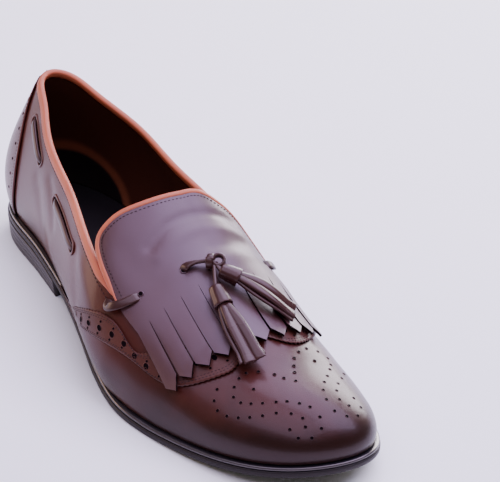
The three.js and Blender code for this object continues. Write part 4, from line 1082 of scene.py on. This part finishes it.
def fringed_flap():
    """The flap as ten columns of faces that part at the root line into pointed strips.

    Behind the root line a point is the mix, in places, of the tongue's edge and the root line. In front of it a
    strip runs straight in plan to its point, its tip curling up and one edge standing a little proud.
    """
    columns, back_rows, strip_rows = 9, 34, 30
    i = np.arange(FRINGE_STRIPS)[:, None]
    j = np.linspace(0, 1, columns)[None]
    share = (i + j) / FRINGE_STRIPS
    tongue = even_line(TONGUE, count=401)
    edge = np.stack([np.interp(share, np.linspace(0, 1, 401), tongue[:, k]) for k in (0, 1)], -1)
    low, high = fringe_edge(i), fringe_edge(i + 1)
    side = 2 * (i + 0.5) / FRINGE_STRIPS - 1
    root_x = FRINGE["root"] * SHOE_LENGTH
    corner = (FRINGE["corner"] - FRINGE["recede"] * side**2) * SHOE_LENGTH
    tip = (FRINGE["tip"] - FRINGE["recede"] * side**2) * SHOE_LENGTH
    end_x = corner + (tip - corner) * (1 - np.abs(2 * j - 1))
    q = np.linspace(0, 1, strip_rows)[:, None, None]
    slit = 0.10 * np.minimum(1, q * 12) + 0.18 * q
    x = root_x + (end_x - root_x)[None] * q
    y = (low + slit) * (1 - j)[None] + (high - slit) * j[None]
    strip = top_place(np.stack([x, y], -1).reshape(-1, 2)).reshape(strip_rows, FRINGE_STRIPS, columns, 2)
    root = strip[0]
    p = np.linspace(0, 1, back_rows)[:, None, None, None]
    back = edge[None] * (1 - p) + root[None] * p
    places = np.concatenate([back[:-1], strip])
    grow = np.concatenate([np.zeros((back_rows - 1, 1, 1)), q])
    curl = STRIP_CURL[None, :, None] * grow**2.2
    lean = STRIP_LEAN[None, :, None] * (2 * j[None] - 1) * np.minimum(1, grow * 2)
    arch = 0.25 * (1 - (2 * j[None] - 1) ** 2) * np.minimum(1, grow * 2)
    flat = places.reshape(-1, 2)
    x_here = upper_point(flat[:, 0], flat[:, 1])[:, 0]
    lift = flap_base(x_here) + KILTIE_THICKNESS + creases(flat, FLAP_CREASES) + (curl + lean + arch).ravel()
    points = on_upper(flat[:, 0], flat[:, 1], lift).reshape(places.shape[:3] + (3,))
    parts = [(points[:, k].reshape(-1, 3), grid_faces(len(places), columns)) for k in range(FRINGE_STRIPS)]
    found, made = join(parts)
    # The rims take the second material, the cut edges' painted shade
    piece = make_piece("fringed_flap", found, made, [FLAP_CALF, CUT_EDGE_PAINTED_SHADE], ["kiltie"], weld=0.01)
    thicken(piece, KILTIE_THICKNESS - 0.2, rim=1)
    ease_edges(piece, harden=True)


fringed_flap()

# Perforated band

# Side rows are [along, rise], plan rows [along, out]; upper edge, then lower edge
BAND_SIDE = [[0.330, -0.060, 0.390, -0.070], [0.440, 0.200, 0.480, 0.160], [0.530, 0.440, 0.580, 0.340],
             [0.600, 0.505, 0.660, 0.345]]
BAND_PLAN = [[0.660, -0.420, 0.715, -0.405], [0.690, -0.350, 0.765, -0.338], [0.720, -0.250, 0.796, -0.208],
             [0.730, -0.140, 0.791, -0.120], [0.715, -0.005, 0.763, -0.005], [0.730, 0.110, 0.786, 0.125],
             [0.715, 0.220, 0.780, 0.237], [0.690, 0.320, 0.750, 0.330], [0.655, 0.400, 0.700, 0.405]]


def band_edges(count):
    """The band's upper and lower edge as places, each a spline through the side and plan rows."""
    edges = []
    for k in (0, 2):
        outer = side_place(np.array(BAND_SIDE)[:, k:k + 2], -1)
        plan = top_place(np.array(BAND_PLAN)[:, k:k + 2] * [SHOE_LENGTH, BALL_WIDTH])
        inner = side_place(np.array(BAND_SIDE)[::-1, k:k + 2], 1)
        edges.append(smooth_line(np.concatenate([outer, plan, inner]), count))
    return edges


BAND_COLUMNS = 760
TOOTH_PITCH = 2.3
TOOTH_DEPTH = 0.55
BAND_UPPER, BAND_LOWER = band_edges(BAND_COLUMNS)
BAND_LIFT = GAP + BAND_THICKNESS


def band_run(share):
    """The length in mm along the middle of the band at each column, and a place at a share across it."""
    middle = BAND_UPPER * (1 - share) + BAND_LOWER * share
    points = upper_point(middle[:, 0], middle[:, 1])
    return middle, np.concatenate([[0], np.cumsum(np.linalg.norm(np.diff(points, axis=0), axis=1))])


def pinked_band():
    """The band: a strip between its two edges, both cut in small teeth."""
    _, run = band_run(0.5)
    tooth = np.abs((run / TOOTH_PITCH) % 1.0 - 0.5) * 2
    rows = np.linspace(0, 1, 15)[:, None]
    width = np.linalg.norm(upper_point(*BAND_UPPER.T) - upper_point(*BAND_LOWER.T), axis=1)
    share = rows + (1 - 2 * rows) * np.where(np.abs(rows - 0.5) > 0.49, TOOTH_DEPTH * tooth / width, 0)
    places = BAND_UPPER[None] * (1 - share[..., None]) + BAND_LOWER[None] * share[..., None]
    flat = places.reshape(-1, 2)
    edge = np.minimum(rows, 1 - rows) * np.ones_like(share)
    lift = BAND_LIFT - 0.25 * (1 - smoothstep(0, 0.05, edge))
    points = on_upper(flat[:, 0], flat[:, 1], lift.ravel())
    # The rims take the second material, the cut edges' painted shade
    piece = make_piece("brogue_strip", points, grid_faces(15, BAND_COLUMNS), [BAND_CALF, CUT_EDGE_PAINTED_SHADE],
                       ["brogue_band"])
    return thicken(piece, BAND_THICKNESS, rim=1)


def band_places(share, spacing, start=0.0):
    """Places at an even spacing along the band, at a share across it."""
    middle, run = band_run(share)
    wanted = np.arange(start, run[-1], spacing)
    return np.stack([np.interp(wanted, run, middle[:, k]) for k in (0, 1)], -1)


pinked_band()

# Pairs of small holes stand between the big ones
HOLE_PITCH = 8.5
big = band_places(0.5, HOLE_PITCH, 4)
small = np.concatenate([band_places(0.27, HOLE_PITCH, 8), band_places(0.73, HOLE_PITCH, 8)])

# Medallion on the toe, one half row at a time, as [x, y] in mm
MEDALLION = [
    ([[248.3, -3.0], [242.8, -9.0], [240.6, -14.5], [241.8, -18.6], [245.0, -22.7], [249.9, -24.1], [254.7, -21.3],
      [258.3, -17.7], [262.3, -12.3], [265.1, -7.7], [269.2, -3.1], [273.5, 0.4]], 13),
    ([[252.4, -0.5], [256.5, 3.3], [250.9, 6.3]], 3),
    ([[246.6, 8.6], [241.7, 11.9], [237.9, 16.8], [235.5, 22.8], [236.5, 28.8], [240.0, 32.4], [245.8, 30.2],
      [250.3, 26.7], [256.1, 21.3], [260.9, 16.3], [266.4, 12.1], [272.5, 9.9]], 12),
    ([[239.1, -27.6], [242.4, -30.9], [247.1, -31.7], [252.5, -30.0], [257.3, -26.9], [261.1, -23.3],
      [264.7, -18.9], [267.8, -13.7], [272.0, -8.5], [276.5, -5.2]], 10),
    ([[279.3, 10.0], [273.5, 16.5], [267.5, 18.9], [261.8, 23.6], [256.4, 29.5], [250.5, 35.0]], 6),
    ([[277.3, -12.2], [280.2, -5.9], [284.0, 0.2]], 3),
    ([[281.9, -10.4], [284.9, -5.2]], 2),
    ([[271.8, 25.9], [277.3, 19.4], [282.8, 14.6]], 3),
    ([[277.4, 26.2], [282.7, 20.8]], 2),
    ([[250.5, -15.3], [244.4, 21.8]], 2),
]
medallion = np.concatenate([top_place(smooth_line(rows, count)) for rows, count in MEDALLION]
                           + [top_place([[279.6, 2.0]])])


def hole_piece(name, groups, leather_material):
    """All punched holes of one leather as a single object, lips in the leather and floors in painted shade.

    groups are (places, lift, half the width, half the length) in mm.
    """
    parts, dark = [], []
    for places, lift, wide, high in groups:
        found, made, floor_faces = punched_holes(places, lift, wide, high)
        parts.append((found, made))
        dark.append(floor_faces)
    found, made = join(parts)
    return make_piece(name, found, made, [leather_material, HOLE_PAINTED_SHADE],
                      face_materials=np.concatenate(dark).astype(int))


hole_piece("band_holes", [(big, BAND_LIFT, 1.25, 1.65), (small, BAND_LIFT, 0.62, 0.62)], BAND_CALF)
hole_piece("toe_holes", [(medallion, 0.02, 0.72, 0.72)], UPPER_CALF)

# Counter at the back


def counter_halves():
    """Each side of the counter as places, row by row from the feather line up, with its front edge and heights."""
    rows, columns = 60, 90
    parts = []
    for side in (-1, 1):
        collar = OUTER_COLLAR[::-1] if side < 0 else INNER_COLLAR
        top_w = np.abs(collar[0, 1])
        height = np.linspace(0.995, top_w + 0.012, rows)

        def ahead(c):
            points = upper_point(c, side * height)
            rise = (points[:, 2] - feather(points[:, 0])) / COLLAR_HEIGHT
            return points[:, 0] / SHOE_LENGTH - counter_along(rise)
        front = halve(np.zeros(rows), np.full(rows, 4.0), ahead)
        share = np.linspace(0, 1, columns)
        c = front[:, None] * share[None]
        w = side * np.broadcast_to(height[:, None], c.shape)
        parts.append((c, w, front, height))
    return parts


def counter_piece():
    """The counter as a thin cover with a rounded front edge, cut off under the collar's piping."""
    meshes, edges = [], []
    for side, (c, w, front, height) in zip((-1, 1), counter_halves()):
        places = np.stack([c, w], -1).reshape(-1, 2)
        faces = grid_faces(*c.shape)
        triangles = np.concatenate([faces[:, [0, 1, 2]], faces[:, [0, 2, 3]]])
        if side < 0:
            triangles = triangles[:, ::-1]
        keep = -opening_depth(places[:, 0], places[:, 1]) - COUNTER_SHORT
        places, triangles = cut(places, triangles, keep)
        near = np.interp(-np.abs(places[:, 1]), -height, front)
        gap_left = (near - places[:, 0]) * 27
        lift = GAP + COUNTER_THICKNESS + 0.25 * np.exp(-((gap_left - 1.2) / 1.0) ** 2) - 0.5 * np.exp(-gap_left / 0.35)
        meshes.append((on_upper(places[:, 0], places[:, 1], lift), triangles))
        edges.append(np.stack([front, side * height], -1))
    found, made = join(meshes)
    # The rims take the second material, the cut edges' painted shade
    piece = make_piece("heel_cover", found, made, [UPPER_CALF, CUT_EDGE_PAINTED_SHADE], ["heel_counter"], weld=0.01)
    thicken(piece, COUNTER_THICKNESS, rim=1)
    return edges


counter_edges = counter_piece()


def visible_part(places, margin):
    """The part of a line of places that is outside the opening."""
    return places[-opening_depth(places[:, 0], places[:, 1]) > margin]


# Holes beside the counter's seam: how far behind it in c, and their pitch in mm
DOT_ASIDE = 0.26
DOT_PITCH = 8.0
counter_dots = []
for edge in counter_edges:
    line = visible_part(edge, 6)
    line = np.stack([line[:, 0] - DOT_ASIDE, line[:, 1]], -1)
    line = even_line(line, spacing=DOT_PITCH)
    counter_dots.append(line[2:-1])
hole_piece("counter_holes", [(np.concatenate(counter_dots), GAP + COUNTER_THICKNESS, 0.8, 0.8)],
           UPPER_CALF)

# Side laces: bars that show in slots. All sizes of a slot are from its middle line in mm
SLOT_REACH = 2.85
BAR_END = 1.2
BED_END = 1.4


def straight_places(rows, side, count):
    """Places on the straight line, seen from the side, between two rows."""
    share = np.linspace(0, 1, count)[:, None]
    rows = np.asarray(rows, float)
    return side_place(rows[0] * (1 - share) + rows[1] * share, side)


def lace_bar(rows, side):
    """A flat lace that comes up through one slit and goes down through the next, domed across."""
    rows = np.asarray(rows, float)
    way = (rows[1] - rows[0]) / np.hypot(*((rows[1] - rows[0]) * [SHOE_LENGTH, COLLAR_HEIGHT]))
    rows = np.stack([rows[0] - way * BAR_END, rows[1] + way * BAR_END])
    places = straight_places(rows, side, 34)
    share = np.linspace(-1, 1, 34)
    lift = -1.1 + 2.2 * (1 - np.abs(share) ** 6)
    points, _, sides, ups = line_frames(places, lift)
    ring = oval(1.95, 1.0, 16, 2.4)
    narrow = 1 - 0.25 * np.abs(share) ** 5
    return sweep(points, sides, ups, ring[None] * np.stack([narrow, np.ones_like(narrow)], -1)[:, None])


def slot_ring(rows, side, reach, wide, high, lift):
    """A closed rounded rim that follows a slot's outline at a given reach from its middle line."""
    rows = np.asarray(rows, float) * [SHOE_LENGTH, COLLAR_HEIGHT]
    way = unit(rows[1] - rows[0])
    across = np.array([-way[1], way[0]])
    turn = np.linspace(-np.pi / 2, np.pi / 2, 14)
    front = rows[1] + reach * (np.cos(turn)[:, None] * way + np.sin(turn)[:, None] * across)
    back = rows[0] - reach * (np.cos(turn)[:, None] * way + np.sin(turn)[:, None] * across)
    straight = np.linspace(0, 1, 22)[1:-1, None]
    loop = np.concatenate([front, front[-1] + (back[0] - front[-1]) * straight, back,
                           back[-1] + (front[0] - back[-1]) * straight])
    places = side_place(loop / [SHOE_LENGTH, COLLAR_HEIGHT], side)
    points = on_upper(places[:, 0], places[:, 1], np.full(len(places), lift))
    ups = upper_normal(places[:, 0], places[:, 1])
    ways = unit(np.roll(points, -1, 0) - np.roll(points, 1, 0))
    ups = unit(ups - ways * (ups * ways).sum(-1, keepdims=True))
    sides = np.cross(ways, ups)
    ring = oval(wide, high, 10)
    rings = points[:, None] + sides[:, None] * ring[None, :, :1] + ups[:, None] * ring[None, :, 1:]
    count, corners = len(places), len(ring)
    r, k = np.meshgrid(np.arange(count), np.arange(corners), indexing="ij")
    here, ahead, after = r * corners, (r + 1) % count * corners, (k + 1) % corners
    faces = np.stack([here + k, here + after, ahead + after, ahead + k], -1).reshape(-1, 4)
    return rings.reshape(-1, 3), faces


def slot_floor(rows, side):
    """A flat bed in painted shade under a bar, its edge under the slot's rim."""
    rows = np.asarray(rows, float) * [SHOE_LENGTH, COLLAR_HEIGHT]
    way = unit(rows[1] - rows[0])
    start, end = rows[0] - way * BED_END, rows[1] + way * BED_END
    share = np.linspace(0, 1, 30)[:, None]
    places = side_place((start * (1 - share) + end * share) / [SHOE_LENGTH, COLLAR_HEIGHT], side)
    points, _, sides, ups = line_frames(places, 0.0)
    return sweep(points, sides, ups, np.array([[2.3, -0.3], [2.3, 0.12], [-2.3, 0.12], [-2.3, -0.3]]))


rims, beds = [], []
for side, word in ((-1, "outer"), (1, "inner")):
    for bar, rows in LACE_BARS.items():
        found, made = lace_bar(rows, side)
        facing_out(make_piece(f"side_lace_{bar}_{word}", found, made, [LACE_LEATHER],
                                [f"lace_bar_{bar}_{word}"]))
        rims.append(slot_ring(rows, side, SLOT_REACH, wide=0.8, high=0.42, lift=0.0))
        beds.append(slot_floor(rows, side))
found, made = join(rims)
facing_out(make_piece("slot_rims", found, made, [UPPER_CALF]))
# The beds are painted shade inside the slots
found, made = join(beds)
facing_out(make_piece("slot_beds", found, made, [HOLE_PAINTED_SHADE]))

# Loops from the notch to the flap


def strap(points, ups, wide, thick, power=2.8, turn=None):
    """A flat lace carried along points, with its broad face towards ups, turned by an angle where one is given."""
    ways = ways_along(points)
    ups = unit(ups - ways * (ups * ways).sum(-1, keepdims=True))
    sides = np.cross(ways, ups)
    if turn is not None:
        cos, sin = np.cos(turn)[:, None], np.sin(turn)[:, None]
        sides, ups = sides * cos + ups * sin, ups * cos - sides * sin
    wide, thick = np.broadcast_to(wide, len(points)), np.broadcast_to(thick, len(points))
    ring = oval(1, 1, 14, power)
    return sweep(points, sides, ups, ring[None] * np.stack([wide / 2, thick / 2], -1)[:, None])


for side, word in ((-1, "outer"), (1, "inner")):
    places = side_place(LACE_LOOP, side)
    line = on_upper(places[:, 0], places[:, 1], LACE_LOOP[:, 2])
    ups = upper_normal(places[:, 0], places[:, 1])
    found, made = strap(smooth_line(line, 40), smooth_line(ups, 40), 4.6, 1.2)
    facing_out(make_piece(f"side_loop_{word}", found, made, [LACE_LEATHER], [f"lace_loop_{word}"]))

loop_holes = np.concatenate([side_place([[0.606, 0.680]], side) for side in (-1, 1)])
tie_hole = top_place([[182.2, -14.6]])
hole_piece("flap_holes", [(loop_holes, 2.6, 1.1, 1.1), (tie_hole, 2.95, 1.3, 1.3)], FLAP_CALF)

# Knot, cords and tassels. Rows are [x, y, lift off the upper] in mm


def lifted(rows):
    """Points and normals over the instep for rows of [x, y, lift] in mm."""
    rows = np.asarray(rows, float)
    places = top_place(rows[:, :2])
    return on_upper(places[:, 0], places[:, 1], rows[:, 2]), upper_normal(places[:, 0], places[:, 1])


TIE_ROWS = [[182.2, -14.4, 1.0], [181.6, -13.6, 4.0], [181.9, -10.2, 5.0], [183.2, -6.6, 5.8], [184.8, -3.8, 6.8]]
line, ups = lifted(TIE_ROWS)
TIE_STEPS = 36
tie_width = np.interp(np.linspace(0, 1, TIE_STEPS), [0, 0.35, 0.7, 1], [4.2, 4.6, 3.0, 3.4])
found, made = strap(smooth_line(line, TIE_STEPS), smooth_line(ups, TIE_STEPS), tie_width, 1.9,
                    turn=np.linspace(0.1, 1.2, TIE_STEPS))
facing_out(make_piece("centre_tie", found, made, [LACE_LEATHER], ["lace_tie"]))

KNOT_ROW = [185.8, -2.0, 7.2]
knot_point, knot_up = (value[0] for value in lifted([KNOT_ROW]))


def ring_band(centre, axis, start, radius, wide, thick, turns=1.0, count=44, spread=0.0):
    """A band bent into a ring about an axis, its broad face outwards."""
    axis, start = unit(np.asarray(axis, float)), np.asarray(start, float)
    start = unit(start - axis * (start @ axis))
    other = np.cross(axis, start)
    angle = np.linspace(0, 2 * np.pi * turns, count)
    out = np.cos(angle)[:, None] * start + np.sin(angle)[:, None] * other
    points = centre + out * radius + axis * np.linspace(-spread, spread, count)[:, None]
    return strap(points, out, wide, thick)


ALONG_TIE = unit(np.array([3.0, 4.0, 0.5]))
parts = [ring_band(knot_point + [-0.6, -1.3, -0.1], ALONG_TIE, knot_up, 2.9, 3.6, 1.8, turns=1.06, spread=0.3),
         ring_band(knot_point + [1.5, 2.0, 0.6], unit(np.array([0.60, -0.40, 0.80])), ALONG_TIE, 2.7, 4.6, 1.9,
                   turns=1.0, spread=0.2)]
core = np.stack([knot_point + ALONG_TIE * s for s in (-3.2, -1.8, -0.4, 0.6)])
parts.append(strap(smooth_line(core, 12), np.tile(knot_up, (12, 1)), 3.6, 3.2))
found, made = join(parts)
facing_out(make_piece("knot_wraps", found, made, [LACE_LEATHER], ["lace_knot"]))

TASSELS = {
    "inner": {"rows": [[191.4, -1.6, 8.4], [198.0, 4.2, 8.6], [205.0, 9.9, 8.4], [211.8, 15.9, 7.4],
                       [217.8, 23.2, 5.4]], "spin": 0.35},
    "outer": {"rows": [[198.2, -7.2, 8.4], [208.6, -8.0, 8.6], [219.4, -8.4, 8.4], [230.4, -8.8, 7.2],
                       [241.4, -9.2, 5.0]], "spin": -0.25},
}
CAP_SHARE = 0.25


def tassel_frames(rows, shares):
    """Points, ways, sides and ups at shares of a tassel's length."""
    line, ups = lifted(rows)
    order = np.arange(len(rows)) / (len(rows) - 1)
    points = np.stack([table_curve(order, line[:, k])(shares) for k in range(3)], -1)
    ahead = np.stack([table_curve(order, line[:, k])(shares + 1e-3) for k in range(3)], -1)
    ways = unit(ahead - points)
    ups = np.stack([table_curve(order, ups[:, k])(shares) for k in range(3)], -1)
    ups = unit(ups - ways * (ups * ways).sum(-1, keepdims=True))
    return points, ways, np.cross(ways, ups), ups


def wrapped_cap(rows, spin):
    """The cap: a strip rolled once round the strips, its end lying over its start as a step."""
    rings = [(0.0, 0.35), (0.005, 0.62), (0.03, 0.78), (0.10, 0.86), (0.45, 0.98), (0.85, 1.07), (0.97, 1.10),
             (1.0, 1.06), (1.0, 0.9), (0.97, 0.84)]
    shares = np.array([row[0] for row in rings]) * CAP_SHARE
    sizes = np.array([row[1] for row in rings])
    points, _, sides, ups = tassel_frames(rows, shares)
    count = 40
    angle = np.arange(count) * 2 * np.pi / count
    step = 0.12 * ((angle + spin) / (2 * np.pi) % 1.0)
    ring = np.stack([np.cos(angle) * (0.94 + step), np.sin(angle) * 0.9 * (0.94 + step)], -1)
    return sweep(points, sides, ups, ring[None] * sizes[:, None, None] * TASSEL_CAP_RADIUS)


def tassel_ribbons(rows, seed):
    """Five rounded ribbons, three under two, that swell out of the cap, spread and end square."""
    random = np.random.default_rng(seed)
    parts = []
    steps = 30
    for layer, sides_of in ((0, (-0.95, 0.0, 0.95)), (1, (-0.62, 0.42))):
        for aside in sides_of:
            reach = 1 - 0.05 * (1 - layer) * random.random() - 0.01
            share = np.linspace(CAP_SHARE - 0.03, reach, steps)
            points, _, sides, ups = tassel_frames(rows, share)
            grow = (share - share[0]) / (share[-1] - share[0])
            swell = np.sin(np.pi * np.clip(grow * 1.2, 0, 1))
            spread = aside * (1.5 + 2.9 * grow + 0.9 * swell)
            height = (1.7 * layer - 1.1) * (0.55 + 0.35 * np.minimum(1, grow * 4)) + swell * 0.8 * layer
            points = points + sides * spread[:, None] + ups * height[:, None]
            wide = (3.4 + 1.6 * np.minimum(1, grow * 2.5) + 0.8 * smoothstep(0.8, 1, grow)) * (1 + 0.12 * layer)
            arch = 1.25 * (1 - 0.35 * grow) * (1 if layer else 0.7)
            across = np.linspace(-1, 1, 11)
            bow = np.maximum(1 - across**2, 0) ** 0.7
            turn = aside * 0.45 + (random.random() - 0.5) * 0.4 * grow
            ring = np.zeros((steps, 22, 2))
            ring[:, :11, 0] = across[None] * wide[:, None] / 2
            ring[:, :11, 1] = arch[:, None] * bow - 0.5
            ring[:, 11:, 0] = across[None, ::-1] * wide[:, None] / 2
            ring[:, 11:, 1] = arch[:, None] * bow + 0.5
            cos, sin = np.cos(turn)[:, None], np.sin(turn)[:, None]
            turned = np.stack([ring[..., 0] * cos - ring[..., 1] * sin, ring[..., 0] * sin + ring[..., 1] * cos], -1)
            parts.append(sweep(points, sides, ups, turned))
    return join(parts)


for seed, (word, tassel) in enumerate(TASSELS.items()):
    found, made = wrapped_cap(tassel["rows"], tassel["spin"])
    facing_out(make_piece(f"tassel_wrap_{word}", found, made, [TASSEL_LEATHER],
                            [f"tassel_cap_{word}"]))
    found, made = tassel_ribbons(tassel["rows"], seed + 3)
    ribbons = make_piece(f"tassel_ribbons_{word}", found, made, [TASSEL_LEATHER],
                         [f"tassel_strips_{word}"])
    ease_edges(facing_out(ribbons))
    start = lifted([tassel["rows"][0]])[0][0]
    way = unit(start - knot_point)
    line = np.stack([knot_point + way * 1.5, knot_point + way * 3.2 + knot_up * 0.7, start + knot_up * 0.2,
                     start + unit(lifted(tassel["rows"])[0][1] - start) * 1.4])
    found, made = strap(smooth_line(line, 24), np.tile(knot_up, (24, 1)), 2.4 if word == "inner" else 1.7, 1.5)
    facing_out(make_piece(f"tassel_lace_{word}", found, made, [LACE_LEATHER],
                            [f"tassel_cord_{word}"]))

# Stitching

rows = [
    stitch_row(TONGUE, lift=GAP + KILTIE_THICKNESS + 0.02, aside=3.6, spacing=2.1, length=1.25, width=0.5,
               height=0.16),
    stitch_row(COLLAR, lift=0.04, aside=-4.0, spacing=2.4, length=1.3, width=0.45, height=0.12),
]
for share in (0.10, 0.17, 0.83, 0.90):
    line = BAND_UPPER * (1 - share) + BAND_LOWER * share
    rows.append(stitch_row(line, lift=BAND_LIFT + 0.02, aside=0.0, spacing=1.7, length=1.05, width=0.36,
                           height=0.14))
for edge in counter_edges:
    line = visible_part(edge, 4)
    for aside in (0.05, 0.115):
        rows.append(stitch_row(np.stack([line[:, 0] - aside, line[:, 1]], -1), lift=GAP + COUNTER_THICKNESS + 0.06,
                               aside=0.0, spacing=1.8, length=1.1, width=0.34, height=0.12))
found, made = join(rows)
make_piece("stitching", found, made, [THREAD])
